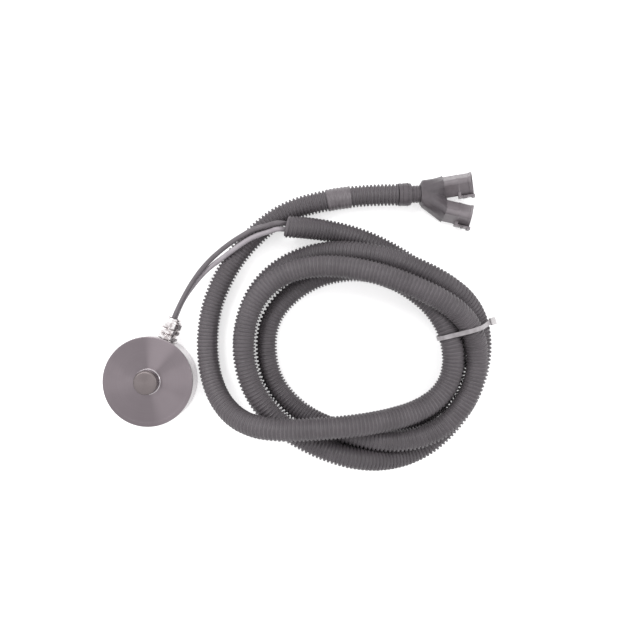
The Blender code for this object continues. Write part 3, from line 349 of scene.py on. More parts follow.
def baked(obj):
    """The object's mesh with its modifiers applied."""
    bpy.context.view_layer.update()
    graph = bpy.context.evaluated_depsgraph_get()
    mesh = bpy.data.meshes.new_from_object(obj.evaluated_get(graph))
    obj.modifiers.clear()
    obj.data = mesh
    return obj


def cut(target, cutter, operation="DIFFERENCE"):
    """Apply one exact Boolean and remove the cutter."""
    modifier = target.modifiers.new("cut", "BOOLEAN")
    modifier.solver = "EXACT"
    modifier.operation = operation
    modifier.object = cutter
    baked(target)
    bpy.data.objects.remove(cutter, do_unlink=True)
    return target


def settled(obj):
    """Move the object's placing into its mesh, so that its box is tight."""
    obj.data.transform(obj.matrix_world)
    obj.matrix_world = Matrix.Identity(4)
    return obj


def bevelled(obj, width):
    """Break the sharp edges with a small round, with the shading led by the large faces."""
    modifier = obj.modifiers.new("edge", "BEVEL")
    modifier.width = width
    modifier.segments = 2
    modifier.limit_method = "ANGLE"
    modifier.angle_limit = math.radians(EDGE_ANGLE)
    modifier.use_clamp_overlap = True
    baked(obj)
    obj.data.validate()
    crisp(obj.data, SMOOTH_BELOW)
    weighing = obj.modifiers.new("weigh", "WEIGHTED_NORMAL")
    weighing.keep_sharp = True
    return baked(obj)


def dress(obj, material, slot, *nodes):
    """Give a piece its material, let it ride, and let it stand for its solids; its slot argument is not used.
    """
    obj.data.materials.clear()
    obj.data.materials.append(material)
    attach(obj, "root")
    if nodes:
        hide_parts(*nodes)
    size = len(obj.data.polygons) if obj.type == "MESH" else 0
    print("piece", obj.name, "faces", size)
    return obj


print("edges are broken from degrees:", EDGE_ANGLE)

# %% [markdown]
# ## Finishes
# Every surface gets its own nodes, and these helpers wire the ones that all finishes share: clouds of noise,
# a change of range, a ramp of two tones and a chain of bumps. All of it is placed by the piece's own
# coordinates and not by a picture, so it needs no unwrapping and stays on the piece when that moves.

# %% Node helpers
def start_material(name):
    """A new material with its node tree and its main shader."""
    material = bpy.data.materials.new(name)
    material.use_nodes = True
    return material, material.node_tree, material.node_tree.nodes["Principled BSDF"]


def add_node(tree, kind, values=None, **settings):
    """One node with its settings and the constants of its sockets."""
    item = tree.nodes.new(kind)
    for key, value in settings.items():
        setattr(item, key, value)
    for key, value in (values or {}).items():
        item.inputs[key].default_value = value
    return item


def own_place(tree):
    """The piece's own coordinates, in metres."""
    return add_node(tree, "ShaderNodeTexCoord").outputs["Object"]


def cloud(tree, place, scale, detail=3.0, rough=0.55):
    """A soft noise in the piece's own coordinates; scale is in cycles per metre."""
    item = add_node(tree, "ShaderNodeTexNoise", {"Scale": scale, "Detail": detail, "Roughness": rough})
    tree.links.new(place, item.inputs["Vector"])
    return item.outputs["Fac"]


def spread(tree, source, low, high, to_low, to_high):
    """Take a value from the range low to high into the range to_low to to_high."""
    ranges = {"From Min": low, "From Max": high, "To Min": to_low, "To Max": to_high}
    item = add_node(tree, "ShaderNodeMapRange", ranges)
    tree.links.new(source, item.inputs["Value"])
    return item.outputs["Result"]


def two_tones(tree, source, first, second, low=0.3, high=0.7):
    """A ramp from a first to a second colour."""
    ramp = add_node(tree, "ShaderNodeValToRGB")
    ramp.color_ramp.elements[0].position = low
    ramp.color_ramp.elements[0].color = (*first, 1.0)
    ramp.color_ramp.elements[1].position = high
    ramp.color_ramp.elements[1].color = (*second, 1.0)
    tree.links.new(source, ramp.inputs["Fac"])
    return ramp.outputs["Color"]


def blend_colours(tree, factor, first, second):
    """Mix two colours; the factor and each colour may be a constant or another node's output."""
    mix = add_node(tree, "ShaderNodeMix", data_type="RGBA")
    sockets = [item for item in mix.inputs if item.type == "RGBA"]
    for source, socket in ((first, sockets[0]), (second, sockets[1])):
        if isinstance(source, tuple):
            socket.default_value = (*source, 1.0)
        else:
            tree.links.new(source, socket)
    if isinstance(factor, float):
        mix.inputs["Factor"].default_value = factor
    else:
        tree.links.new(factor, mix.inputs["Factor"])
    return [item for item in mix.outputs if item.type == "RGBA"][0]


def raise_bumps(tree, shader, sources):
    """Chain bump nodes: each source is (height output, distance in metres, strength)."""
    last = None
    for height, distance, strength in sources:
        bump = add_node(tree, "ShaderNodeBump", {"Distance": distance, "Strength": strength})
        tree.links.new(height, bump.inputs["Height"])
        if last is not None:
            tree.links.new(last, bump.inputs["Normal"])
        last = bump.outputs["Normal"]
    tree.links.new(last, shader.inputs["Normal"])


print("node helpers are ready")

# %% [markdown]
# ### Moulded plastic
# Black plastic is never one flat black. Its tone is cloudy where it was handled, its gloss is uneven, and the
# mould leaves a fine grain. On the conduit the tone also grows paler towards the left and the top of the coil,
# as in the picture, so the finish can take a third, paler colour. Sizes of clouds and grain are in
# millimetres.

# %% Moulded plastic
PALER_TOWARDS = (("X", 135.0, 30.0), ("Y", 142.0, 158.0))
PALER_SHARE = 0.85
SMUDGE_SHARE = 0.35
SPECK_SHARE = 0.16


def paler_share(tree, place):
    """Zero to one towards the paler stretches; each axis with its two places in mm."""
    parts = add_node(tree, "ShaderNodeSeparateXYZ")
    tree.links.new(place, parts.inputs["Vector"])
    most = add_node(tree, "ShaderNodeMath", operation="MAXIMUM")
    for index, (axis, start, end) in enumerate(PALER_TOWARDS):
        share = spread(tree, parts.outputs[axis], start * MM, end * MM, 0.0, PALER_SHARE)
        tree.links.new(share, most.inputs[index])
    return most.outputs["Value"]


def moulded_plastic(name, dark, light, roughness, cloud_size, grain_size, grain, paler_tone=None):
    """Moulded plastic: cloudy two-tone colour, uneven gloss and a fine grain. Sizes are in mm."""
    material, tree, shader = start_material(name)
    place = own_place(tree)
    clouds = cloud(tree, place, 1.0 / (cloud_size * MM))
    smudges = cloud(tree, place, 1.0 / (cloud_size * SMUDGE_SHARE * MM), 4.0)
    fine = cloud(tree, place, 1.0 / (grain_size * MM), 2.0)
    colour = two_tones(tree, clouds, dark, light)
    if paler_tone:
        colour = blend_colours(tree, paler_share(tree, place), colour, paler_tone)
    specks = spread(tree, fine, 0.35, 0.75, 0.0, SPECK_SHARE)
    tree.links.new(blend_colours(tree, specks, colour, light), shader.inputs["Base Color"])
    gloss = spread(tree, smudges, 0.3, 0.7, roughness - 0.07, roughness + 0.09)
    tree.links.new(gloss, shader.inputs["Roughness"])
    raise_bumps(tree, shader, [(fine, grain * MM, 1.0), (smudges, grain * 2.0 * MM, 0.6)])
    return material


print("moulded plastic fades along:", [row[0] for row in PALER_TOWARDS])

# %% [markdown]
# ### Turned metal
# A tool leaves fine rings around the axis of a turned piece. They stretch each highlight across the rings, so
# soft light sectors stand on the face, as on a disc of any lathe. Listed sectors are also painted into the
# colour, lighter than the metal's own light tone: these are painted highlights. The rings are a noise
# that depends only on the distance from the axis and on the height, which costs little and never shows a seam.

# %% Turned metal
TARNISH = (0.40, 0.35, 0.35)
PATCH_SIZE = 3.2
SMUDGE_SIZE = 11.0
PAINTED_HIGHLIGHT_GAIN = 1.6


def polar_parts(tree, place):
    """The direction away from the local Z axis, and the distance from it plus the height."""
    parts = add_node(tree, "ShaderNodeSeparateXYZ")
    tree.links.new(place, parts.inputs["Vector"])
    flat = add_node(tree, "ShaderNodeCombineXYZ")
    tree.links.new(parts.outputs["X"], flat.inputs["X"])
    tree.links.new(parts.outputs["Y"], flat.inputs["Y"])
    reach = add_node(tree, "ShaderNodeVectorMath", operation="LENGTH")
    tree.links.new(flat.outputs["Vector"], reach.inputs[0])
    heading = add_node(tree, "ShaderNodeVectorMath", operation="NORMALIZE")
    tree.links.new(flat.outputs["Vector"], heading.inputs[0])
    along = add_node(tree, "ShaderNodeMath", operation="ADD")
    tree.links.new(reach.outputs["Value"], along.inputs[0])
    tree.links.new(parts.outputs["Z"], along.inputs[1])
    return heading.outputs["Vector"], along.outputs["Value"]


def noise_line(tree, source, scale, detail=2.0, rough=0.5):
    """A noise along one value, such as the distance from an axis."""
    values = {"Scale": scale, "Detail": detail, "Roughness": rough}
    item = add_node(tree, "ShaderNodeTexNoise", values, noise_dimensions="1D")
    tree.links.new(source, item.inputs["W"])
    return item.outputs["Fac"]


def sector(tree, heading, azimuth, half_width):
    """One at an azimuth around the local Z axis, falling to zero at half_width degrees from it."""
    turn = math.radians(azimuth)
    dot = add_node(tree, "ShaderNodeVectorMath", operation="DOT_PRODUCT")
    dot.inputs[1].default_value = (math.cos(turn), math.sin(turn), 0.0)
    tree.links.new(heading, dot.inputs[0])
    ranges = {"From Min": math.cos(math.radians(half_width)), "From Max": 1.0, "To Min": 0.0, "To Max": 1.0}
    item = add_node(tree, "ShaderNodeMapRange", ranges, interpolation_type="SMOOTHSTEP")
    tree.links.new(dot.outputs["Value"], item.inputs["Value"])
    return item.outputs["Result"]


def turned_metal(name, dark, light, roughness, ring_size, anisotropy, ring_depth, sectors=(), tarnish=0.0):
    """Turned metal: tool rings around local Z, stretched gloss, smudges, painted highlight sectors and dull
    patches.
    """
    material, tree, shader = start_material(name)
    shader.inputs["Metallic"].default_value = 1.0
    shader.inputs["Anisotropic"].default_value = anisotropy
    place = own_place(tree)
    heading, along = polar_parts(tree, place)
    rings = noise_line(tree, along, 1.0 / (ring_size * MM), 4.0, 0.7)
    broad = noise_line(tree, along, 0.16 / (ring_size * MM))
    smudges = cloud(tree, place, 1.0 / (SMUDGE_SIZE * MM), 4.0)
    rays = cloud(tree, heading, 2.4, 3.0)
    base = two_tones(tree, rings, dark, light, 0.25, 0.75)
    base = blend_colours(tree, spread(tree, broad, 0.3, 0.7, 0.0, 0.5), base, dark)
    base = blend_colours(tree, spread(tree, smudges, 0.45, 0.8, 0.0, 0.3), base, light)
    base = blend_colours(tree, spread(tree, rays, 0.4, 0.75, 0.0, 0.4), base, light)
    # Painted highlights: each listed sector lifts the colour towards a tone brighter than the metal's light
    # tone.
    for azimuth, half_width, strength in sectors:
        share = spread(tree, sector(tree, heading, azimuth, half_width), 0.0, 1.0, 0.0, strength)
        base = blend_colours(tree, share, base, tuple(min(1.0, value * PAINTED_HIGHLIGHT_GAIN) for value in light))
    if tarnish:
        patches = cloud(tree, place, 1.0 / (PATCH_SIZE * MM), 1.0)
        base = blend_colours(tree, spread(tree, patches, 0.52, 0.62, 0.0, tarnish), base, TARNISH)
    tree.links.new(base, shader.inputs["Base Color"])
    uneven = blend_colours(tree, 0.5, smudges, rings)
    gloss = spread(tree, uneven, 0.3, 0.7, roughness * 0.8, roughness * 1.3)
    tree.links.new(gloss, shader.inputs["Roughness"])
    tangent = add_node(tree, "ShaderNodeTangent", direction_type="RADIAL", axis="Z")
    tree.links.new(tangent.outputs["Tangent"], shader.inputs["Tangent"])
    raise_bumps(tree, shader, [(rings, ring_depth * MM, 0.8)])
    return material


print("colour of tarnish:", TARNISH)

# %% [markdown]
# ### Steel of the disc
# The disc is one piece of steel, but its faces have different finishes. The face is matt and dark with soft
# painted highlights: lighter sectors, each given as an azimuth, a half width and a strength. The button's top
# is a little browner. The fillet around the button is glossy and painted much paler, a painted highlight that
# shows as a bright ring. The rounded edges are painted half bright, a weaker painted highlight, and the wall
# is satin and painted pale, a painted reflection of the white table.

# %% Steel of the disc
# Painted highlights on the face: lighter sectors given as azimuth, half width and strength.
PAINTED_HIGHLIGHT_SECTORS = ((70.0, 26.0, 0.55), (-50.0, 32.0, 0.35), (-5.0, 40.0, 0.15))
STEEL = turned_metal("steel", (0.204, 0.178, 0.191), (0.232, 0.203, 0.217), roughness=0.36,
                     ring_size=0.22, anisotropy=0.5, ring_depth=0.010, sectors=PAINTED_HIGHLIGHT_SECTORS)
# Painted highlight: the fillet's steel is glossy and painted far paler than the face.
POLISHED_PAINTED_HIGHLIGHT = turned_metal("polished_steel_painted_highlight", (0.74, 0.72, 0.73), (0.92, 0.90, 0.91), roughness=0.18,
                        ring_size=0.35, anisotropy=0.2, ring_depth=0.003)
# Painted highlight: the steel of the rounded edges is painted paler than the face.
EDGE_STEEL_PAINTED_HIGHLIGHT = turned_metal("edge_steel_painted_highlight", (0.30, 0.275, 0.285), (0.38, 0.35, 0.36), roughness=0.30,
                          ring_size=0.2, anisotropy=0.2, ring_depth=0.004)
# Painted reflection: the wall's steel is painted pale for the white table it mirrors.
WALL_STEEL_PAINTED_REFLECTION = turned_metal("wall_steel_painted_reflection", (0.54, 0.52, 0.53), (0.68, 0.655, 0.665), roughness=0.30,
                          ring_size=0.2, anisotropy=0.2, ring_depth=0.004)
BUTTON_STEEL = turned_metal("button_steel", (0.198, 0.171, 0.172), (0.230, 0.202, 0.203), roughness=0.42,
                            ring_size=0.3, anisotropy=0.3, ring_depth=0.010)
print("steel finishes:", len(bpy.data.materials))

# %% [markdown]
# ### Plating of the gland and the pins
# The gland is brass with a bright nickel plate that has dulled in patches. The contact pins have a warmer
# plate. Both use the same turned metal as the disc, only brighter, with shallower rings.

# %% Plating of the gland and the pins
NICKEL = turned_metal("nickel", (0.80, 0.77, 0.77), (0.95, 0.93, 0.93), roughness=0.26,
                      ring_size=0.5, anisotropy=0.2, ring_depth=0.006, tarnish=0.75)
PIN = turned_metal("pin_plate", (0.55, 0.5, 0.42), (0.75, 0.7, 0.6), roughness=0.24,
                   ring_size=0.2, anisotropy=0.1, ring_depth=0.004)
print("plated finish:", NICKEL.name, PIN.name)

# %% [markdown]
# ### Black plastics
# Colours are linear. The picture is bright and its blacks are lifted, so the black plastic is a dark grey
# with a touch of red, as it looks there. The conduit has a satin black on its ridges and a paler, duller
# finish in its grooves, painted light that lifts the shade there. The boot and its collar are a softer
# compound, and the connector shells are the glossiest and palest of the black pieces. Only the shells have
# almost no grain, which keeps them clean.

# %% Black plastics
CONDUIT_BLACK = moulded_plastic("conduit_black", (0.072, 0.064, 0.070), (0.098, 0.088, 0.096), roughness=0.46,
                                cloud_size=14.0, grain_size=0.5, grain=0.02, paler_tone=(0.116, 0.105, 0.113))
# Painted light in the grooves: a paler, duller black that lifts their shade.
CONDUIT_GROOVE_LIFT = moulded_plastic("conduit_groove_painted_light", (0.142, 0.128, 0.137), (0.184, 0.167, 0.178), roughness=0.6,
                               cloud_size=14.0, grain_size=0.5, grain=0.02, paler_tone=(0.210, 0.190, 0.202))
BOOT_BLACK = moulded_plastic("boot_black", (0.094, 0.082, 0.090), (0.126, 0.112, 0.121), roughness=0.42,
                             cloud_size=8.0, grain_size=0.3, grain=0.02)
SHELL_BLACK = moulded_plastic("shell_black", (0.198, 0.176, 0.188), (0.256, 0.231, 0.245), roughness=0.36,
                              cloud_size=8.0, grain_size=0.25, grain=0.002)
RUBBER = moulded_plastic("rubber", (0.045, 0.042, 0.043), (0.068, 0.064, 0.066), roughness=0.7,
                         cloud_size=4.0, grain_size=0.25, grain=0.02)
BLACKS = (CONDUIT_BLACK, CONDUIT_GROOVE_LIFT, BOOT_BLACK, SHELL_BLACK, RUBBER)
print("black finishes:", [material.name for material in BLACKS])

# %% [markdown]
# ### Jackets, film and nylon
# One cable has a dark jacket and one a light grey jacket, both of soft extruded plastic. The label is a
# glossy film a little lighter than the conduit. The tie is natural nylon: its strap is thin and takes on the
# grey of what lies below it, while its thicker head looks milky, so it has a finish for each.

# %% Jackets, film and nylon
CABLE_DARK = moulded_plastic("cable_dark_jacket", (0.138, 0.124, 0.134), (0.176, 0.160, 0.171),
                             roughness=0.42, cloud_size=10.0, grain_size=0.4, grain=0.015)
CABLE_GREY = moulded_plastic("cable_grey_jacket", (0.370, 0.340, 0.366), (0.460, 0.428, 0.455),
                             roughness=0.42, cloud_size=12.0, grain_size=0.4, grain=0.012)
LABEL_FILM = moulded_plastic("label_film", (0.145, 0.128, 0.138), (0.200, 0.180, 0.192), roughness=0.36,
                             cloud_size=4.0, grain_size=0.8, grain=0.03)
TIE_NYLON = moulded_plastic("tie_nylon", (0.31, 0.29, 0.30), (0.47, 0.445, 0.46), roughness=0.34,
                            cloud_size=5.0, grain_size=0.3, grain=0.015)
MILKY_NYLON = moulded_plastic("milky_nylon", (0.62, 0.60, 0.60), (0.80, 0.78, 0.78), roughness=0.34,
                              cloud_size=5.0, grain_size=0.3, grain=0.015)
print("jackets, film and nylon:", CABLE_DARK.name, CABLE_GREY.name, LABEL_FILM.name, TIE_NYLON.name)

# %% [markdown]
# ### Finishes that hardly show
# The wedge inside each connector is a grey plastic that can be seen in the mouths. The foil of the strain
# gauges and the green board sit in the disc behind its cover. They show only when the model is taken apart.

# %% Finishes that hardly show
WEDGE_GREY = moulded_plastic("wedge_grey", (0.16, 0.15, 0.155), (0.21, 0.195, 0.20), roughness=0.42,
                             cloud_size=5.0, grain_size=0.2, grain=0.01)
FOIL = moulded_plastic("gauge_foil", (0.42, 0.26, 0.12), (0.6, 0.4, 0.2), roughness=0.4,
                       cloud_size=2.0, grain_size=0.2, grain=0.01)
BOARD = moulded_plastic("board_green", (0.03, 0.13, 0.06), (0.05, 0.2, 0.1), roughness=0.4,
                        cloud_size=6.0, grain_size=0.3, grain=0.01)
print("materials in all:", len(bpy.data.materials))

# %% [markdown]
# ## Floor
# The real object was laid on a white sheet, and the picture shows it almost without shadows. The floor is a
# pale matt sheet that takes what shadow there is. For the rays of the camera, and for mirror images in metal,
# it also gives off a little light of its own, so the sheet shows white while the object gets no more light.

# %% Floor
FLOOR_SIZE = 8.0
FLOOR_DROP = 0.1 * MM
FLOOR_LIFT = 0.55
FLOOR_ROUGHNESS = 0.7
FLOOR_SHINE = 0.2


def seen_rays(tree):
    """One for the rays that show the background: to the camera, in mirror images and through glass."""
    rays = add_node(tree, "ShaderNodeLightPath")
    seen = rays.outputs["Is Camera Ray"]
    for kind in ("Is Glossy Ray", "Is Transmission Ray"):
        either = add_node(tree, "ShaderNodeMath", operation="MAXIMUM")
        tree.links.new(seen, either.inputs[0])
        tree.links.new(rays.outputs[kind], either.inputs[1])
        seen = either.outputs["Value"]
    return seen


def make_floor():
    """The sheet below the harness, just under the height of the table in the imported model."""
    bpy.ops.mesh.primitive_plane_add(size=FLOOR_SIZE, location=(VIEW_AXIS[0], VIEW_AXIS[1], -FLOOR_DROP))
    floor = bpy.context.object
    floor.name = "floor"
    material, tree, shader = start_material("floor")
    tone = cloud(tree, own_place(tree), 3.0)
    pale = two_tones(tree, tone, (0.93, 0.93, 0.93), (0.96, 0.96, 0.96))
    lift = spread(tree, seen_rays(tree), 0.0, 1.0, 0.0, FLOOR_LIFT)
    tree.links.new(pale, shader.inputs["Base Color"])
    shader.inputs["Roughness"].default_value = FLOOR_ROUGHNESS
    shader.inputs["Specular IOR Level"].default_value = FLOOR_SHINE
    shader.inputs["Emission Color"].default_value = (1.0, 1.0, 1.0, 1.0)
    tree.links.new(lift, shader.inputs["Emission Strength"])
    floor.data.materials.append(material)
    return floor


floor = make_floor()
print("floor height in mm:", round(floor.location.z / MM, 2))

# %% [markdown]
# ## Light
# A plain even surround does most of the lighting. One lamp at the upper left shapes the forms, and a weak one
# at the right fills in. Both are soft squares, large enough to blur their shadows. The surround lights the
# object at its own level, while the camera and the mirrors see it as full white.

# %% Light
WORLD_LEVEL = 0.8
WORLD_COLOUR = (1.0, 0.99, 1.0, 1.0)
LAMP_SIZE = 0.45
LAMPS = (("lamp_upper_left", (-0.55, 0.80, 1.45), 8.0), ("lamp_right", (1.35, 0.35, 1.1), 3.6))


def make_lamp(name, place, power):
    """A square lamp at a place in metres that faces the middle of the harness; its power is in watts."""
    data = bpy.data.lights.new(name, "AREA")
    data.shape = "SQUARE"
    data.size = LAMP_SIZE
    data.energy = power
    lamp = bpy.data.objects.new(name, data)
    bpy.context.collection.objects.link(lamp)
    lamp.location = place
    ahead = Vector((VIEW_AXIS[0], VIEW_AXIS[1], 0.0)) - Vector(place)
    lamp.rotation_euler = ahead.to_track_quat("-Z", "Y").to_euler()
    return lamp


def make_surround():
    """The even surround: its own level as light, full white where it is seen."""
    world = bpy.data.worlds.new("surround")
    bpy.context.scene.world = world
    world.use_nodes = True
    tree = world.node_tree
    background = tree.nodes["Background"]
    background.inputs["Color"].default_value = WORLD_COLOUR
    strength = spread(tree, seen_rays(tree), 0.0, 1.0, WORLD_LEVEL, 1.0)
    tree.links.new(strength, background.inputs["Strength"])


for name, place, power in LAMPS:
    make_lamp(name, place, power)
make_surround()
bpy.context.scene.view_settings.view_transform = "Standard"
print("lamps:", [row[0] for row in LAMPS])

# %% [markdown]
# ## Corrugated conduit
# The real piece is a split corrugated loom tube, blow moulded from black plastic: 18.5 mm across, one ridge
# every 3.1 mm, with a slit along its whole length. A curve with a bevel can't carry the ridges and a bump
# texture would leave the edge smooth, so each ridge is real geometry: five rings a ridge along the route.
# Where the tube was squeezed or stretched the grooves look shallower or deeper, which the groove shares say.

# %% Rings of the conduit
CONDUIT_CREST = 9.25 * MM
CONDUIT_INNER = 7.1 * MM
GROOVE_DEPTH = 1.45 * MM
RIDGE_PITCH = 3.1 * MM
RIDGE_UNEVEN = 0.035 * MM
RIDGE_SEED = 11
RIDGE_SECTION = ((0.00, 0.0), (0.30, 0.0), (0.43, 0.86), (0.64, 1.0), (0.85, 0.86))
MOUTH_WALL_REACH = 60.0 * MM
MOUTH_WALL_STEP = 3.0 * MM
LOOK_AROUND = 1.5 * MM
GROOVE_SHARES = ((0.0, 0.8), (0.03, 1.15), (0.06, 1.15), (0.09, 0.9), (0.16, 1.0), (0.2, 1.15), (0.25, 1.0),
                 (0.36, 1.15), (0.46, 1.15), (0.49, 0.7), (0.53, 0.7), (0.6, 0.95), (0.66, 1.2), (0.73, 1.15),
                 (0.76, 0.75), (0.86, 0.7), (0.9, 0.8), (0.92, 1.25), (1.0, 1.25))


def line_frames(line, wanted):
    """Places, directions, sideways and upward vectors at distances along a line that is never upright."""
    places = places_at(line, wanted)
    ahead = places_at(line, np.minimum(wanted + LOOK_AROUND, lengths_along(line)[-1]))
    behind = places_at(line, np.maximum(wanted - LOOK_AROUND, 0.0))
    direction = ahead - behind
    direction /= np.linalg.norm(direction, axis=1)[:, None]
    side = np.cross(np.array([0.0, 0.0, 1.0]), direction)
    side /= np.linalg.norm(side, axis=1)[:, None]
    return places, direction, side, np.cross(direction, side)


def by_share(table, share):
    """A value from a table of (share of the length, value), with straight lines between its rows."""
    return np.interp(share, [row[0] for row in table], [row[1] for row in table])


def conduit_pitch():
    """The ridge spacing that fits a whole number of ridges into the length."""
    return conduit_length / int(conduit_length / RIDGE_PITCH)


def conduit_rings():
    """Rings of the conduit from deep inside its mouth, out over the rim and along to its far end."""
    rng = np.random.default_rng(RIDGE_SEED)
    ridges = int(conduit_length / RIDGE_PITCH)
    pitch = conduit_pitch()
    stations, depths = [], []
    for ridge in range(ridges):
        for share, height in RIDGE_SECTION:
            stations.append((ridge + share) * pitch)
            depths.append(1.0 - height)
    stations.append(conduit_length)
    depths.append(1.0)
    stations, depths = np.array(stations), np.array(depths)
    groove = GROOVE_DEPTH * by_share(GROOVE_SHARES, stations / conduit_length)
    wobble = np.repeat(rng.normal(0.0, RIDGE_UNEVEN, ridges), len(RIDGE_SECTION))
    radii = CONDUIT_CREST - depths * groove + np.append(wobble, 0.0)
    inner_at = np.arange(MOUTH_WALL_REACH, 0.0, -MOUTH_WALL_STEP)
    stations = np.concatenate([inner_at, [0.0], stations])
    radii = np.concatenate([np.full(len(inner_at), CONDUIT_INNER), [CONDUIT_INNER], radii])
    depths = np.concatenate([np.zeros(len(inner_at) + 1), depths])
    outer = np.arange(len(stations)) > len(inner_at)
    return stations, radii, depths, outer


print("ridge pitch in mm:", round(conduit_pitch() / MM, 3))

# %% [markdown]
# ### Slit, mouth and painted light in the grooves
# The slit is one narrow sunk column with a raised lip, and it wanders around the tube along its length. The
# mouth is open and cut aslant: near it each ring slides a little along the line, more at one side than at the
# other, and a wall runs in out of sight. The faces in the grooves take a second, paler and duller finish:
# painted light that lifts the shade in the grooves.

# %% Conduit
PLAIN_COLUMNS = 21
SLIT_HALF_ANGLE = math.radians(4.5)
SLIT_DEPTH = 1.1 * MM
SLIT_LIP = 0.22 * MM
SLIT_TURNS = ((0.0, 215.0), (0.2, 250.0), (0.45, 320.0), (0.7, 235.0), (1.0, 300.0))
MOUTH_SLANT_SIDE = 2.0 * MM
MOUTH_SLANT_TOP = -3.2 * MM
MOUTH_SLANT_REACH = 16.0 * MM
GROOVE_LIFT_FROM = 1.1


def make_conduit():
    """The conduit as one skin, with the depth of each of its rings in the groove."""
    stations, radii, depths, outer = conduit_rings()
    places, direction, side, up = line_frames(conduit_line, stations)
    slit = np.radians(by_share(SLIT_TURNS, stations / conduit_length))
    plain = np.linspace(SLIT_HALF_ANGLE, math.tau - SLIT_HALF_ANGLE, PLAIN_COLUMNS + 2)
    offsets = np.concatenate([[0.0], plain])
    angles = slit[:, None] + offsets[None, :]
    shift = np.zeros((len(stations), len(offsets)))
    shift[outer, 0] = -SLIT_DEPTH
    shift[outer, 1] = SLIT_LIP
    reach = radii[:, None] + shift
    near_mouth = np.clip(1.0 - stations / MOUTH_SLANT_REACH, 0.0, 1.0)[:, None]
    slide = near_mouth * (np.cos(angles) * MOUTH_SLANT_SIDE + np.sin(angles) * MOUTH_SLANT_TOP)
    rings = (places[:, None, :] + direction[:, None, :] * slide[..., None]
             + reach[..., None] * (np.cos(angles)[..., None] * side[:, None, :]
                                   + np.sin(angles)[..., None] * up[:, None, :]))
    return ring_mesh("conduit_corrugated", rings), depths


def groove_faces(depths):
    """One for each side face between two rings that lie in a groove, zero for the others and the ends."""
    lifted = (depths[:-1] + depths[1:] > GROOVE_LIFT_FROM).astype(np.int32)
    return np.concatenate([np.repeat(lifted, PLAIN_COLUMNS + 3), [0, 0]])


conduit, ring_depths = make_conduit()
dress(conduit, CONDUIT_BLACK, "conduit_plastic", "conduit")
# Painted light: the groove faces take the paler finish that lifts their shade.
conduit.data.materials.append(CONDUIT_GROOVE_LIFT)
lifted_groove_faces = groove_faces(ring_depths)
conduit.data.polygons.foreach_set("material_index", lifted_groove_faces)
print("faces in the grooves:", int(lifted_groove_faces.sum()))

# %% [markdown]
# ## The two cables
# Each bridge has its own four-core cable, 4.2 mm across, one with a black and one with a grey jacket. They
# leave the gland one above the other, drift apart, and go into the conduit's mouth side by side. They are
# limp next to the conduit, so they lean on it and follow it. A curve object could make them, but the same
# rings as for the conduit give both a slightly uneven jacket. Each line starts inside the gland and goes on
# inside the conduit, so that no cut end is seen.

# %% Lines of the cables
CABLE_DARK_ROUTE_PX = [
    (182.0, 300.5, 12.6), (190.4, 285.4, 12.6), (199.6, 271.8, 13.4), (209.4, 260.8, 15.0),
    (219.4, 251.6, 17.0), (229.6, 243.6, 19.2), (240.0, 236.8, 21.2), (250.0, 231.0, 22.8),
    (260.0, 227.2, 24.0), (271.0, 224.6, 24.8),
]
CABLE_LIGHT_ROUTE_PX = [
    (182.6, 301.0, 7.8), (192.0, 287.0, 7.8), (202.0, 274.8, 9.0), (211.6, 266.0, 12.6),
    (221.0, 259.0, 16.8), (230.6, 251.8, 20.4), (240.4, 244.8, 21.8), (250.2, 238.6, 22.8),
    (260.6, 234.2, 23.8), (271.4, 231.0, 24.6),
]
GLAND_AZIMUTH = math.radians(69.2)
GLAND_HEIGHT = 10.9 * MM
INSERT_END = 55.8 * MM
CABLE_OFFSET = 2.25 * MM
CABLE_APART = 2.5 * MM
CABLE_EVENING = 5.0 * MM
CABLE_START = INSERT_END + SEAT_GAP - 3.0 * MM
STRAIGHT_REACHES = (0.0, 3.5 * MM, 7.0 * MM)
MOUTH_GAP = 0.5 * MM
MOUTH_RUN = 8 * MM
INSIDE_REACHES = (6.0 * MM, 16.0 * MM, 30.0 * MM, 46.0 * MM)
MOUTH_HEADING_POINT = 12


def gland_frame():
    """Matrix whose +Z runs out along the gland's axis, with +Y up."""
    outward = Vector((math.cos(GLAND_AZIMUTH), math.sin(GLAND_AZIMUTH), 0.0))
    return along_frame(Vector((0.0, 0.0, GLAND_HEIGHT)), outward)


def cable_line(route, level, sideways):
    """A cable from the gland's face, along its route, into the open mouth of the conduit."""
    gland = gland_frame()
    exits = [gland @ Vector((0.0, level, CABLE_START + reach)) for reach in STRAIGHT_REACHES]
    along = Vector(conduit_line[MOUTH_HEADING_POINT] - conduit_line[0]).normalized()
    across = Vector((0.0, 0.0, 1.0)).cross(along).normalized()
    mouth = Vector(conduit_line[0])
    ends = [mouth - along * (MOUTH_GAP + MOUTH_RUN) + across * sideways,
            mouth - along * MOUTH_GAP + across * sideways]
    places, direction, side, up = line_frames(conduit_line, np.array(INSIDE_REACHES))
    ends += [Vector(place) + Vector(flank) * sideways for place, flank in zip(places, side)]
    return evened(smooth_curve(exits + picture_route(route) + ends), CABLE_EVENING)


dark_line = cable_line(CABLE_DARK_ROUTE_PX, CABLE_OFFSET, CABLE_APART)
light_line = cable_line(CABLE_LIGHT_ROUTE_PX, -CABLE_OFFSET, -CABLE_APART)
print("cable lengths in mm:", [round(lengths_along(line)[-1] / MM) for line in (dark_line, light_line)])

# %% [markdown]
# ### Jackets of the cables
# With both lines drawn, each jacket is a row of round rings along its own line. An extruded jacket is never
# quite even, so its radius drifts by a few hundredths of a millimetre, which breaks up the line of light.

# %% Cables
CABLE_RADIUS = 2.1 * MM
CABLE_COLUMNS = 28
CABLE_RING_STEP = 1.2 * MM
CABLE_UNEVEN = 0.03 * MM
RINGS_PER_WAVE = 6
DARK_SEED = 3
LIGHT_SEED = 4


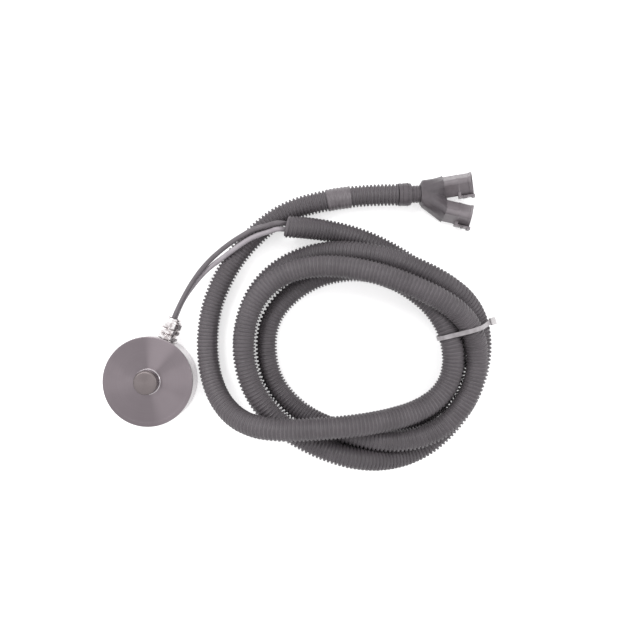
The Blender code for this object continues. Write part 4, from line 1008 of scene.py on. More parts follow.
def make_cable(name, line, seed):
    """A round jacket along a line, with a radius that varies by a few hundredths of a millimetre."""
    rng = np.random.default_rng(seed)
    length = lengths_along(line)[-1]
    stations = np.linspace(0.0, length, int(length / CABLE_RING_STEP))
    places, direction, side, up = line_frames(line, stations)
    angles = np.linspace(0.0, math.tau, CABLE_COLUMNS, endpoint=False)
    knots = stations[::RINGS_PER_WAVE]
    uneven = np.interp(stations, knots, rng.normal(0.0, CABLE_UNEVEN, len(knots)))
    reach = (CABLE_RADIUS + uneven)[:, None]
    rings = (places[:, None, :] + reach[..., None] * (np.cos(angles)[None, :, None] * side[:, None, :]
                                                      + np.sin(angles)[None, :, None] * up[:, None, :]))
    return ring_mesh(name, rings)


dark_jacket = make_cable("cable_black_jacket", dark_line, DARK_SEED)
light_jacket = make_cable("cable_grey_jacket", light_line, LIGHT_SEED)
cable_dark = dress(dark_jacket, CABLE_DARK, "dark_jacket", "cable_dark")
cable_light = dress(light_jacket, CABLE_GREY, "grey_jacket", "cable_light")

# %% [markdown]
# ## Steel disc
# The body is turned from stainless bar: a flat disc with a face sunk by a twentieth of a millimetre, a fine
# rim band and a load button with a rounded edge in its middle. It is spun from the half section of the solid,
# with more and rounder steps, as a lathe would cut it. Only the face is sunk less than in the solid, because
# the rim band hardly shows in the picture. A spot face at the side carries the gland, and this port is cut
# exactly. Two tight loops at the rim band keep its shading from spreading over the face.

# %% Section of the disc
DISC_RADIUS = 38.0 * MM
DISC_HEIGHT = 21.0 * MM
DISC_STEPS = 192
BUTTON_RADIUS = 10.2 * MM
BUTTON_HEIGHT = 8.0 * MM
BUTTON_CROWN = 0.05 * MM
CROWN_LOOP_AT = 4.0 * MM
BUTTON_ROUND = 2.2 * MM
FILLET_ROUND = 1.2 * MM
FACE_SUNK = 0.05 * MM
FACE_LOOP_AT = 26.0 * MM
RIM_BAND_AT = 34.3 * MM
RIM_BAND_STEP = 0.1 * MM
LOOP_GAP = 0.05 * MM
EDGE_ROUND = 0.8 * MM
EDGE_LOOP_AT = 37.1 * MM
WALL_LOOPS = (12.0 * MM, 4.0 * MM)
FOOT_ROUND = 0.7 * MM
COVER_SEAT_RADIUS = 34.5 * MM
COVER_SEAT_DEPTH = 2.8 * MM
CAVITY_RADIUS = 31.0 * MM
CAVITY_TOP = 15.5 * MM
CAVITY_CHAMFER = 1.5 * MM
CAVITY_TOP_RADIUS = 29.4 * MM
BOSS_RADIUS = 11.0 * MM
BOSS_END = 6.0 * MM


def disc_profile():
    """Half section of the disc, from the top of the button round to the boss inside."""
    top = DISC_HEIGHT + BUTTON_HEIGHT
    face = DISC_HEIGHT - FACE_SUNK
    shoulder = CAVITY_TOP - CAVITY_CHAMFER
    points = [(0.0, top + BUTTON_CROWN), (CROWN_LOOP_AT, top + 0.6 * BUTTON_CROWN)]
    points += arc((BUTTON_RADIUS - BUTTON_ROUND, top - BUTTON_ROUND), BUTTON_ROUND, 88, 0, 14)
    points += [(BUTTON_RADIUS, face + 2 * FILLET_ROUND)]
    points += arc((BUTTON_RADIUS + FILLET_ROUND, face + FILLET_ROUND), FILLET_ROUND, 180, 270, 8)
    points += [(BUTTON_RADIUS + FILLET_ROUND + 0.1 * MM, face), (FACE_LOOP_AT, face)]
    points += [(RIM_BAND_AT - LOOP_GAP, face), (RIM_BAND_AT, face)]
    points += [(RIM_BAND_AT + RIM_BAND_STEP, DISC_HEIGHT)]
    points += [(RIM_BAND_AT + RIM_BAND_STEP + LOOP_GAP, DISC_HEIGHT), (EDGE_LOOP_AT, DISC_HEIGHT)]
    points += arc((DISC_RADIUS - EDGE_ROUND, DISC_HEIGHT - EDGE_ROUND), EDGE_ROUND, 90, 0, 6)
    points += [(DISC_RADIUS, height) for height in WALL_LOOPS]
    points += arc((DISC_RADIUS - FOOT_ROUND, FOOT_ROUND), FOOT_ROUND, 0, -90, 5)
    points += [(COVER_SEAT_RADIUS, 0.0), (COVER_SEAT_RADIUS, COVER_SEAT_DEPTH)]
    points += [(CAVITY_RADIUS, COVER_SEAT_DEPTH), (CAVITY_RADIUS, shoulder), (CAVITY_TOP_RADIUS, CAVITY_TOP)]
    points += [(BOSS_RADIUS + CAVITY_CHAMFER, CAVITY_TOP), (BOSS_RADIUS, shoulder), (BOSS_RADIUS, BOSS_END)]
    points += [(0.0, BOSS_END)]
    return points


print("points in the disc's half section:", len(disc_profile()))

# %% [markdown]
# ### The disc and its port
# The section is spun in fine steps, so that the outline stays round even in a close picture. Then the seat
# and the threaded hole for the gland are cut with one turned cutter that lies along the gland's own axis.

# %% Disc
SPOT_FACE_RADIUS = 9.1 * MM
SPOT_FACE_AT = 36.8 * MM
THREAD_RADIUS = 6.25 * MM
PORT_CHAMFER = 0.3 * MM
PORT_END = 29.0 * MM


def port_cutter():
    """What the drill and the spot facer take away: a wide flat seat and a chamfered hole."""
    reach = DISC_RADIUS + 9.0 * MM
    bore = THREAD_RADIUS + SEAT_GAP
    profile = [(0.0, reach), (SPOT_FACE_RADIUS, reach), (SPOT_FACE_RADIUS, SPOT_FACE_AT),
               (bore + PORT_CHAMFER, SPOT_FACE_AT), (bore, SPOT_FACE_AT - PORT_CHAMFER), (bore, PORT_END),
               (0.0, PORT_END)]
    return turned("port_cutter", profile, 72, gland_frame())


disc = turned("disc_turned", disc_profile(), DISC_STEPS)
cut(disc, port_cutter())
crisp(disc.data, 30.0)
dress(disc, STEEL, "turned_steel", "sensor_body")

# %% [markdown]
# ### Finishes of the disc's faces
# One body takes five finishes, so each face is told which one it has. The rule reads how far the face lies
# from the axis and how much it looks up. The button's top and round are a little browner, its upright side has
# the half-bright painted highlight, and the fillet at its foot has the bright painted highlight. The outer
# edge has the half-bright painted highlight, and the wall is satin with the pale painted reflection. Every
# other face keeps the matt finish.

# %% Finishes of the disc's faces
MATT, BROWNED, BRIGHT, HALF_BRIGHT, SATIN_PAINTED_REFLECTION = range(5)
BUTTON_ZONE = BUTTON_RADIUS + 0.8 * MM
EDGE_ZONE = DISC_RADIUS - 0.9 * MM
LEVEL_FROM = 0.8


def button_finish(reach, tilt):
    """Finish of a face on the button or its fillet; tilt is one when the face looks straight up."""
    if tilt > 0.2 and reach < BUTTON_RADIUS:
        return BROWNED
    if tilt < 0.1:
        return HALF_BRIGHT
    return BRIGHT if tilt < LEVEL_FROM else MATT


def edge_finish(tilt):
    """Finish of a face on the outer edge or the wall."""
    if abs(tilt) < 0.08:
        return SATIN_PAINTED_REFLECTION
    return HALF_BRIGHT if abs(tilt) < LEVEL_FROM else MATT


for material in (BUTTON_STEEL, POLISHED_PAINTED_HIGHLIGHT, EDGE_STEEL_PAINTED_HIGHLIGHT, WALL_STEEL_PAINTED_REFLECTION):
    disc.data.materials.append(material)
# Steep faces take the painted highlights and the wall the painted reflection, chosen by how much each face
# looks up.
for face in disc.data.polygons:
    reach = math.hypot(face.center.x, face.center.y)
    if reach < BUTTON_ZONE and face.center.z > DISC_HEIGHT:
        face.material_index = button_finish(reach, face.normal.z)
    elif reach > EDGE_ZONE and face.center.z > 0.0:
        face.material_index = edge_finish(face.normal.z)
print("finishes on the disc:", len(disc.data.materials))

# %% [markdown]
# ## Base cover
# The underside is closed by a flat cover, set into the body and held by small countersunk screws. It stands
# on the table, so it shows only from below. It is a turned disc with a shallow ring in its face. Each screw
# gets a conical sink a little larger than itself, cut exactly, and a hexagon socket.

# %% Base cover
COVER_RADIUS = 34.2 * MM
COVER_THICKNESS = 2.5 * MM
COVER_EDGE = 0.4 * MM
COVER_RELIEF = 0.25 * MM
COVER_SCREWS = 6
SCREW_CIRCLE = 32.0 * MM
SCREW_RADIUS = 1.5 * MM
SCREW_LENGTH = 1.6 * MM
SCREW_SUNK = 0.06 * MM
SCREW_EDGE_AT = 0.16 * MM
SCREW_CLEAR = 0.1 * MM
SOCKET_RADIUS = 0.72 * MM
SCREW_STEPS = 32


def make_cover():
    """The cover: level with the foot at its edge, with a ring from 12 to 24 mm turned a little deeper."""
    profile = [(0.0, COVER_THICKNESS), (COVER_RADIUS, COVER_THICKNESS), (COVER_RADIUS, COVER_EDGE),
               (COVER_RADIUS - COVER_EDGE, 0.0), (24.0 * MM, 0.0), (23.8 * MM, COVER_RELIEF),
               (12.0 * MM, COVER_RELIEF), (11.8 * MM, 0.0), (0.0, 0.0)]
    return turned("cover_turned", profile, 144)


def make_screw(index):
    """A countersunk screw whose head looks down, with a hexagon socket."""
    angle = math.tau * (index + 0.5) / COVER_SCREWS
    place = Matrix.Translation((SCREW_CIRCLE * math.cos(angle), SCREW_CIRCLE * math.sin(angle), 0.0))
    profile = [(0.0, SCREW_SUNK), (SCREW_RADIUS - 0.2 * MM, SCREW_SUNK), (SCREW_RADIUS, SCREW_EDGE_AT),
               (SCREW_RADIUS * 0.5, SCREW_LENGTH), (0.0, SCREW_LENGTH)]
    screw = turned("cover_screw_%d" % (index + 1), profile, SCREW_STEPS, place)
    hexagon = arc((0.0, 0.0), SOCKET_RADIUS, 0, 300, 5)
    socket = loft("socket", [at_height(hexagon, height * MM) for height in (-0.5, 0.9)], place)
    return cut(screw, socket)


def make_sink(place):
    """The conical hole around a screw."""
    wide = SCREW_RADIUS + SCREW_CLEAR
    end = SCREW_LENGTH + SCREW_CLEAR
    profile = [(0.0, -0.5 * MM), (wide, -0.5 * MM), (wide, SCREW_EDGE_AT),
               (SCREW_RADIUS * 0.5 + SCREW_CLEAR, end), (0.0, end)]
    return turned("sink", profile, SCREW_STEPS, place)


cover = make_cover()
for index in range(COVER_SCREWS):
    screw = make_screw(index)
    cut(cover, make_sink(screw.matrix_world.copy()))
    dress(screw, NICKEL, "nickel_plate")
crisp(cover.data)
dress(cover, STEEL, "turned_steel", "base_cover")

# %% [markdown]
# ## Cable gland
# A nickel-plated brass gland seals the cables: a metal washer with a rubber lip on the spot face, a lock nut,
# the body with its own hexagon, a cap nut with a round shoulder, and the rubber insert that grips both
# cables. The solids have these forms, so the finer pieces only add broken edges, thread turns between the
# nuts and the soft lip of the insert.
#
# ### Rows of a hexagon
# A hexagon nut is turned first and milled after. So each ring here is a circle that is held inside a hexagon,
# and the corners get more columns than the flats. Turned stretches in the same piece are left round.

# %% Rows of a hexagon
HEX_TURNS = (-1.7, 0.0, 1.7, 5.0, 10.0, 15.0, 20.0, 25.0, 30.0, 35.0, 40.0, 45.0, 50.0, 55.0)
HEX_BROKEN_EDGE = 0.15 * MM
HEX_CHAMFER = 0.8 * MM
HEX_FACE_RELIEF = 0.25 * MM


def spun(name, rows, matrix, flats):
    """Ring mesh around the local +Z from a closed row of (height, radius, held inside the hexagon)."""
    sides = [corner + turn for corner in range(0, 360, 60) for turn in HEX_TURNS]
    angles = np.radians(sides)
    aside = np.mod(angles, math.radians(60.0)) - math.radians(30.0)
    reach = np.minimum(flats / 2.0 / np.cos(aside), flats / math.sqrt(3.0) - HEX_BROKEN_EDGE)
    rings = []
    for height, radius, hexagonal in rows + rows[:1]:
        radii = np.minimum(radius, reach) if hexagonal else np.full(len(angles), radius)
        rings.append(np.stack([radii * np.cos(angles), radii * np.sin(angles),
                               np.full(len(angles), height)], axis=1))
    return ring_mesh(name, np.array(rings), matrix, closed_ends=False)


def hex_rows(flats, low, high):
    """Outer rows of a hexagon whose two ends are turned back to a round washer face."""
    face = flats / 2.0 - HEX_FACE_RELIEF
    corner = flats / math.sqrt(3.0)
    rise = [(HEX_CHAMFER * share, face + (corner - face) * share) for share in np.linspace(0.0, 1.0, 7)]
    rows = [(low + up, radius, True) for up, radius in rise]
    return rows + [(high - up, radius, True) for up, radius in reversed(rise)]


def round_rows(points):
    """Rows for plain turned stretches, from (radius, height) points."""
    return [(height, radius, False) for radius, height in points]


print("columns around a hexagon:", 6 * len(HEX_TURNS))

# %% [markdown]
# ### Nuts and body of the gland
# All heights are distances from the disc's axis along the gland's own. The thread is a row of equal turns
# without a lead: in a picture of this size a true helix would look the same and would cost many more faces.

# %% Nuts and body of the gland
THREAD_TURN = 1.0 * MM
THREAD_DEPTH = 0.45 * MM
THREAD_INNER_END = 32.0 * MM
GLAND_BORE = 4.8 * MM
COLLET_FLOOR = 48.3 * MM
INSERT_RADIUS = 5.1 * MM
LOCK_NUT_FLATS = 16.0 * MM
LOCK_NUT_FROM = 38.3 * MM
LOCK_NUT_TO = 41.5 * MM
BODY_FLATS = 15.6 * MM
BODY_HEX_FROM = 43.5 * MM
BODY_HEX_TO = 47.3 * MM
BODY_END = 51.5 * MM
CAP_FLATS = 15.0 * MM
CAP_FROM = 48.0 * MM
CAP_HEX_TO = 53.6 * MM
CAP_SHOULDER = 1.9 * MM
CAP_SHOULDER_MIDDLE = 5.3 * MM
CAP_NECK = (6.02 * MM, 55.6 * MM)
CAP_LIP = 0.27 * MM
CAP_LIP_MIDDLE = (5.77 * MM, 56.5 * MM)
CAP_THREAD_TO = 51.9 * MM
NUT_MOUTH = 5.5 * MM
NUT_MOUTH_FLOOR = 52.5 * MM


def thread_points(low, high):
    """Equal turns of a thread between two heights: root, rise, crest and fall."""
    root = THREAD_RADIUS - THREAD_DEPTH
    points = []
    for base in np.arange(low, high - THREAD_TURN, THREAD_TURN):
        points += [(root, base), (root, base + 0.15 * THREAD_TURN),
                   (THREAD_RADIUS, base + 0.5 * THREAD_TURN), (THREAD_RADIUS, base + 0.65 * THREAD_TURN)]
    return points


def make_lock_nut(matrix):
    """The thin nut that clamps the washer, with a countersink at each end of its bore."""
    bore = THREAD_RADIUS + SEAT_GAP
    wide = bore + 0.25 * MM
    inside = [(wide, LOCK_NUT_TO), (bore, LOCK_NUT_TO - 0.3 * MM), (bore, LOCK_NUT_FROM + 0.3 * MM),
              (wide, LOCK_NUT_FROM)]
    rows = hex_rows(LOCK_NUT_FLATS, LOCK_NUT_FROM, LOCK_NUT_TO) + round_rows(inside)
    return spun("gland_lock", rows, matrix, LOCK_NUT_FLATS)


def make_stem(matrix):
    """The body: thread, hexagon and thread again, with the bore that steps up for the insert."""
    collet = INSERT_RADIUS + SEAT_GAP
    below = [(5.3 * MM, THREAD_INNER_END)]
    below += thread_points(THREAD_INNER_END + 0.4 * MM, BODY_HEX_FROM - 0.2 * MM)
    above = thread_points(BODY_HEX_TO + 0.2 * MM, BODY_END + 0.1 * MM) + [(5.75 * MM, BODY_END)]
    inside = [(collet, BODY_END), (collet, COLLET_FLOOR)]
    inside += [(GLAND_BORE, COLLET_FLOOR), (GLAND_BORE, THREAD_INNER_END)]
    rows = round_rows(below) + hex_rows(BODY_FLATS, BODY_HEX_FROM, BODY_HEX_TO) + round_rows(above + inside)
    return spun("gland_stem", rows, matrix, BODY_FLATS)


def make_cap_nut(matrix):
    """The cap nut: a hexagon, a round shoulder and a short lip around the insert."""
    bore = THREAD_RADIUS + SEAT_GAP
    shoulder = arc((CAP_SHOULDER_MIDDLE, CAP_HEX_TO), CAP_SHOULDER, 6, 66, 9) + [CAP_NECK]
    shoulder += arc(CAP_LIP_MIDDLE, CAP_LIP, 0, 180, 6)
    inside = [(NUT_MOUTH, NUT_MOUTH_FLOOR), (bore, CAP_THREAD_TO), (bore, COLLET_FLOOR)]
    inside += [(bore + SEAT_GAP, CAP_FROM)]
    rows = hex_rows(CAP_FLATS, CAP_FROM, CAP_HEX_TO) + round_rows(shoulder + inside)
    return spun("gland_cap", rows, matrix, CAP_FLATS)


print("the gland reaches from", THREAD_INNER_END / MM, "to", INSERT_END / MM, "mm from the disc's axis")

# %% [markdown]
# ### Washer and rubber of the gland
# The washer is bright and has rounded edges. A rubber lip fills its inside and bulges a little towards the
# thread. The insert is a rubber plug with a soft edge that shows as a dark ring around the cables.

# %% Washer and rubber of the gland
WASHER_RADIUS = 8.5 * MM
WASHER_FROM = 37.1 * MM
WASHER_TO = 38.0 * MM
WASHER_ROUND = 0.2 * MM
WASHER_HOLE = 7.3 * MM
LIP_MIDDLE = (6.95 * MM, 37.55 * MM)
LIP_ROUND = 0.38 * MM
INSERT_FROM = 48.6 * MM
INSERT_EDGE_AT = 54.9 * MM
INSERT_ROUND = 0.8 * MM
INSERT_DISH = ((3.2 * MM, 55.3 * MM), (0.0, 55.2 * MM))


def make_washer(matrix):
    """The metal washer on the spot face."""
    rim = WASHER_RADIUS - WASHER_ROUND
    profile = [(WASHER_HOLE, WASHER_FROM)] + arc((rim, WASHER_FROM + WASHER_ROUND), WASHER_ROUND, -90, 0, 3)
    profile += arc((rim, WASHER_TO - WASHER_ROUND), WASHER_ROUND, 0, 90, 3) + [(WASHER_HOLE, WASHER_TO)]
    return turned("gland_washer", profile, 72, matrix, closed=True)


def make_lip(matrix):
    """The rubber lip inside the washer."""
    profile = [(WASHER_HOLE, WASHER_FROM + 0.05 * MM)] + arc(LIP_MIDDLE, LIP_ROUND, -80, -280, 8)
    profile += [(WASHER_HOLE, WASHER_TO - 0.05 * MM)]
    return turned("gland_ring", profile, 72, matrix, closed=True)


def make_insert(matrix):
    """The rubber insert that grips the cables, dished a little in its middle."""
    profile = [(0.0, INSERT_FROM), (INSERT_RADIUS, INSERT_FROM), (INSERT_RADIUS, INSERT_EDGE_AT)]
    profile += arc((INSERT_RADIUS - INSERT_ROUND, INSERT_EDGE_AT), INSERT_ROUND, 0, 90, 6)
    profile += INSERT_DISH
    return turned("gland_grip", profile, 64, matrix)


gland_place = gland_frame()
dress(make_washer(gland_place), NICKEL, "nickel_plate", "gland_seal_ring")
dress(make_lip(gland_place), RUBBER, "black_rubber")
dress(make_lock_nut(gland_place), NICKEL, "nickel_plate", "gland_lock_nut")
dress(make_stem(gland_place), NICKEL, "nickel_plate", "gland_body")
dress(make_cap_nut(gland_place), NICKEL, "nickel_plate", "gland_nut")
dress(make_insert(gland_place), RUBBER, "black_rubber", "gland_insert")

# %% [markdown]
# ## Label sleeve
# A thin film label is wrapped once around the conduit near its end. It is left blank. A straight sleeve would
# look like a band of metal, so the film sinks into each groove below it: its radius follows the ridges with
# less than half of their depth. It has faint creases and an overlap where its two ends meet.

# %% Label
LABEL_CENTRE_PX = (339.0, 198.0)
LABEL_HEIGHT = 9.5 * MM
LABEL_LENGTH = 20.5 * MM
LABEL_RADIUS = 9.45 * MM
LABEL_THICKNESS = 0.15 * MM
LABEL_FLOOR = 0.06 * MM
LABEL_SAG = 0.6 * MM
LABEL_RINGS = 71
LABEL_COLUMNS = 64
CREST_SHARE = 0.64
CREASE_DEPTH = 0.04 * MM
RINGS_PER_CREASE = 8
LAP_AT = math.radians(160.0)
LABEL_SEED = 5


def nearest_station(place):
    """Number of the point of the conduit's line that is nearest to a place."""
    return int(np.argmin(np.linalg.norm(conduit_line - np.array(place), axis=1)))


def make_label():
    """The film as a sleeve that follows the ridges, with an overlap, faint creases and a wall."""
    middle = nearest_station(picture_point(*LABEL_CENTRE_PX, LABEL_HEIGHT))
    centre = lengths_along(conduit_line)[middle]
    rng = np.random.default_rng(LABEL_SEED)
    stations = np.linspace(centre - LABEL_LENGTH / 2, centre + LABEL_LENGTH / 2, LABEL_RINGS)
    angles = np.linspace(0.0, math.tau, LABEL_COLUMNS, endpoint=False)
    phase = math.tau * (stations / conduit_pitch() - CREST_SHARE)
    sag = LABEL_SAG * (np.cos(phase)[:, None] - 1.0) / 2.0
    knots = np.arange(0, LABEL_RINGS + RINGS_PER_CREASE, RINGS_PER_CREASE)
    depths = rng.normal(0.0, CREASE_DEPTH, len(knots))
    crease = np.interp(np.arange(LABEL_RINGS), knots, depths)[:, None]
    lap = LABEL_THICKNESS * (np.cos(angles - LAP_AT) > 0.9)[None, :]
    outer = LABEL_RADIUS + sag + crease * np.cos(3.0 * angles)[None, :] + lap
    places, direction, side, up = line_frames(conduit_line, stations)
    around = np.cos(angles)[None, :, None] * side[:, None, :] + np.sin(angles)[None, :, None] * up[:, None, :]
    shell = places[:, None, :] + outer[..., None] * around
    inner = places[:, None, :] + (outer - LABEL_THICKNESS)[..., None] * around
    rings = np.concatenate([shell, inner[::-1], shell[:1]])
    rings[..., 2] = np.maximum(rings[..., 2], LABEL_FLOOR)
    return ring_mesh("label_film_sleeve", rings, closed_ends=False)


label = dress(make_label(), LABEL_FILM, "label_film", "label_sleeve")

# %% [markdown]
# ## Collar and neck
# The conduit ends in a clip-on collar with a raised grip band. A soft neck with three shallow grooves leads
# from it into the boot. Both are turned forms. Shallow notches around the band break up the collar as moulded
# grips do: they are made by pulling the band's own points inwards in a wave.

# %% Collar
COLLAR_LENGTH = 10.7 * MM
COLLAR_RADIUS = 10.1 * MM
COLLAR_LOW_RADIUS = 9.6 * MM
COLLAR_HOLE = 6.4 * MM
COLLAR_SEAT = 7.6 * MM
COLLAR_BAND_ROUND = 0.5 * MM
COLLAR_END_ROUND = 1.2 * MM
COLLAR_WEB = 4.0 * MM
COLLAR_RIBS = 28
COLLAR_NOTCH = 0.28 * MM
TAIL_POINTS = 31


def tail_frame():
    """The conduit's far end, with +Z along the line that its last centimetres take."""
    end = Vector(conduit_line[-1])
    return along_frame(end, end - Vector(conduit_line[-TAIL_POINTS]))


def notched(collar):
    """Pull the points of the grip band inwards in a wave around the axis."""
    for vert in collar.data.vertices:
        reach = math.hypot(vert.co.x, vert.co.y)
        if reach > COLLAR_RADIUS - 0.3 * MM:
            angle = math.atan2(vert.co.y, vert.co.x)
            dip = COLLAR_NOTCH * (0.5 + 0.5 * math.cos(COLLAR_RIBS * angle))
            vert.co.x *= (reach - dip) / reach
            vert.co.y *= (reach - dip) / reach
    return collar


def make_collar():
    """The collar: a low flange, the grip band and a rounded end, with a web inside that stops the conduit."""
    low = SEAT_GAP
    high = low + COLLAR_LENGTH
    band = COLLAR_RADIUS - COLLAR_BAND_ROUND
    profile = [(COLLAR_HOLE, low), (9.3 * MM, low), (COLLAR_LOW_RADIUS, low + 0.3 * MM),
               (COLLAR_LOW_RADIUS, low + 2.2 * MM)]
    profile += arc((band, low + 3.0 * MM), COLLAR_BAND_ROUND, 180, 90, 4)
    profile += arc((band, high - 3.2 * MM), COLLAR_BAND_ROUND, 90, 0, 4)
    profile += [(9.3 * MM, high - 2.6 * MM)]
    profile += arc((8.2 * MM, high - COLLAR_END_ROUND), COLLAR_END_ROUND, 0, 90, 6)
    profile += [(COLLAR_SEAT, high), (COLLAR_SEAT, low + COLLAR_WEB), (COLLAR_HOLE, low + COLLAR_WEB)]
    return notched(turned("collar_clip", profile, 112, tail_frame(), closed=True))


collar = dress(settled(make_collar()), BOOT_BLACK, "boot_plastic", "conduit_collar")

# %% [markdown]
# ### Neck
# The neck is a soft sleeve that lets the conduit bend before the boot. Its grooves are part of the turned
# section, and it starts inside the collar, behind the web, so that no gap shows between them.

# %% Neck
NECK_RADIUS = 7.3 * MM
NECK_LENGTH = 7.4 * MM
NECK_HOLE = 6.1 * MM
NECK_GROOVE = 0.35 * MM


def make_neck():
    """The sleeve between collar and boot, with three shallow grooves."""
    start = SEAT_GAP + COLLAR_WEB + SEAT_GAP
    end = SEAT_GAP + COLLAR_LENGTH + NECK_LENGTH
    floor_radius = NECK_RADIUS - NECK_GROOVE
    profile = [(NECK_HOLE, start), (NECK_RADIUS, start)]
    for station in np.linspace(COLLAR_LENGTH + 1.6 * MM, end - 1.2 * MM, 3):
        profile += [(NECK_RADIUS, station - 0.5 * MM), (floor_radius, station - 0.3 * MM),
                    (floor_radius, station + 0.3 * MM), (NECK_RADIUS, station + 0.5 * MM)]
    profile += [(NECK_RADIUS, end), (NECK_HOLE, end)]
    return turned("neck_ribbed", profile, 80, tail_frame(), closed=True)


neck = dress(settled(make_neck()), BOOT_BLACK, "boot_plastic", "neck_sleeve")

# %% [markdown]
# ## Places of the two connectors
# Both connectors rest on the table with a corner of their section up, so each shows one long ridge line from
# above. Their section is a triangle with round corners, made of three arcs. The boot needs it too, one wall
# larger, so it is defined first.

# %% Outline of a connector
SHELL_REACH = 7.3 * MM
SHELL_CORNER = 3.0 * MM
SHELL_LENGTH = 25.5 * MM
RIM_GROWTH = 0.5 * MM
LATCH_GAP = 1.1 * MM
LATCH_WIDTH = 7.0 * MM
LATCH_THICKNESS = 1.5 * MM
LATCH_OVERHANG = 1.0 * MM
LATCH_HOOK = 1.0 * MM
BOOT_WALL = 1.1 * MM
BOOT_OVERLAP = 1.8 * MM


def shell_outline(grow=0.0, steps=12):
    """Outline of the three-way shell: a triangle with round corners, one corner at local +Y."""
    outline = []
    for corner in (90.0, 210.0, 330.0):
        angle = math.radians(corner)
        centre = (SHELL_REACH * math.cos(angle), SHELL_REACH * math.sin(angle))
        outline += arc(centre, SHELL_CORNER + grow, corner - 60.0, corner + 60.0, steps)
    return outline


def solid_latch_outline():
    """Section of the solid's latch at its hook, opposite the corner at +Y; it only sets the height."""
    near = -(SHELL_REACH * math.sin(math.radians(30.0)) + SHELL_CORNER + LATCH_GAP)
    far = near - LATCH_THICKNESS - LATCH_HOOK
    half = LATCH_WIDTH / 2
    return [(-half, far), (half, far), (half, near), (-half, near)]


print("points around a shell:", len(shell_outline()))

# %% [markdown]
# ### Down to the table
# These lines repeat the solids' own placing. Each connector is turned first, and then let down until its
# lowest point rests, which may be its rim, its latch or the boot around it. Connector A also rises a little
# towards its mouth.

# %% Connector places
CONNECTOR_A_REAR_PX = (441.6, 186.9)
CONNECTOR_A_AZIMUTH = math.radians(7.0)
CONNECTOR_A_ROLL = math.radians(-125.0)
CONNECTOR_A_PITCH = math.radians(12.0)
CONNECTOR_B_REAR_PX = (442.4, 210.0)
CONNECTOR_B_AZIMUTH = math.radians(-13.5)
CONNECTOR_B_ROLL = math.radians(-108.0)
CONNECTOR_B_PITCH = math.radians(2.0)
CONNECTOR_FLOOR_GAP = 0.2 * MM
REST_STEPS = 6


def connector_frame(rear_px, azimuth, pitch, roll):
    """Place of a connector resting on the surface, with +Z along its axis and its own up rolled."""
    level = math.cos(pitch)
    axis = Vector((math.cos(azimuth) * level, math.sin(azimuth) * level, math.sin(pitch)))
    turn = along_frame(Vector((0.0, 0.0, 0.0)), axis) @ Matrix.Rotation(roll, 4, "Z")
    rests = at_height(shell_outline(BOOT_WALL, REST_STEPS), BOOT_OVERLAP)
    rests += at_height(solid_latch_outline(), SHELL_LENGTH + LATCH_OVERHANG)
    rests += at_height(shell_outline(RIM_GROWTH, REST_STEPS), SHELL_LENGTH)
    height = CONNECTOR_FLOOR_GAP - min((turn @ point).z for point in rests)
    return Matrix.Translation(picture_point(*rear_px, height)) @ turn


CONNECTORS = {
    "a": (connector_frame(CONNECTOR_A_REAR_PX, CONNECTOR_A_AZIMUTH, CONNECTOR_A_PITCH, CONNECTOR_A_ROLL),
          CONNECTOR_A_ROLL),
    "b": (connector_frame(CONNECTOR_B_REAR_PX, CONNECTOR_B_AZIMUTH, CONNECTOR_B_PITCH, CONNECTOR_B_ROLL),
          CONNECTOR_B_ROLL),
}
for letter, (matrix, roll) in CONNECTORS.items():
    print("connector", letter, "rear end in mm:", [round(value / MM, 1) for value in matrix.translation])

# %% [markdown]
# ## Y boot
# A soft moulded boot joins the neck to both connectors. Each arm starts as a squared ellipse at the neck and
# ends as the connector's own rounded triangle, one wall larger, so the section turns from one to the other.
# To skin such a change, both outlines need the same number of points, at the same angles around the arm.

# %% Arms of the boot
BOOT_ROOT_WIDTH = 22.6 * MM
BOOT_ROOT_HEIGHT = 16.6 * MM
BOOT_ROOT_POWER = 3.2
BOOT_MOUTH_GROWTH = 1.0 * MM
BOOT_SHOULDER = 1.8 * MM
BOOT_COLUMNS = 96
HAIR = 1e-9


def reach_at(outline, angle):
    """Distance from the middle of a closed outline to its line, in one direction."""
    ahead = Vector((math.cos(angle), math.sin(angle)))
    reach = 0.0
    for start, end in zip(outline, outline[1:] + outline[:1]):
        first = Vector(start)
        side = Vector(end) - first
        across = ahead.cross(side)
        if across == 0.0:
            continue
        share = first.cross(ahead) / across
        distance = first.cross(side) / across
        if -HAIR <= share <= 1.0 + HAIR and distance > reach:
            reach = distance
    return reach


def root_reach(angle, width, height):
    """Distance to the line of a squared ellipse in one direction."""
    x = abs(math.cos(angle)) / (width / 2.0)
    y = abs(math.sin(angle)) / (height / 2.0)
    return (x ** BOOT_ROOT_POWER + y ** BOOT_ROOT_POWER) ** (-1.0 / BOOT_ROOT_POWER)


def boot_branch(matrix, roll, root):
    """One arm of the boot: from the neck's face, over a short shoulder, to a connector's rear end."""
    angles = [math.tau * index / BOOT_COLUMNS for index in range(BOOT_COLUMNS)]
    mouth = 2.0 * (NECK_RADIUS + BOOT_MOUTH_GROWTH)
    sections = []
    for width, height, shift in ((mouth, mouth, 0.0), (BOOT_ROOT_WIDTH, BOOT_ROOT_HEIGHT, BOOT_SHOULDER)):
        reaches = [root_reach(angle, width, height) for angle in angles]
        sections.append([root @ Vector((reach * math.cos(angle), reach * math.sin(angle), shift))
                         for reach, angle in zip(reaches, angles)])
    end = shell_outline(BOOT_WALL)
    local = [angle - roll for angle in angles]
    reaches = [reach_at(end, angle) for angle in local]
    sections.append([matrix @ Vector((reach * math.cos(angle), reach * math.sin(angle), BOOT_OVERLAP))
                     for reach, angle in zip(reaches, local)])
    return loft("branch", sections)


print("columns around an arm of the boot:", BOOT_COLUMNS)

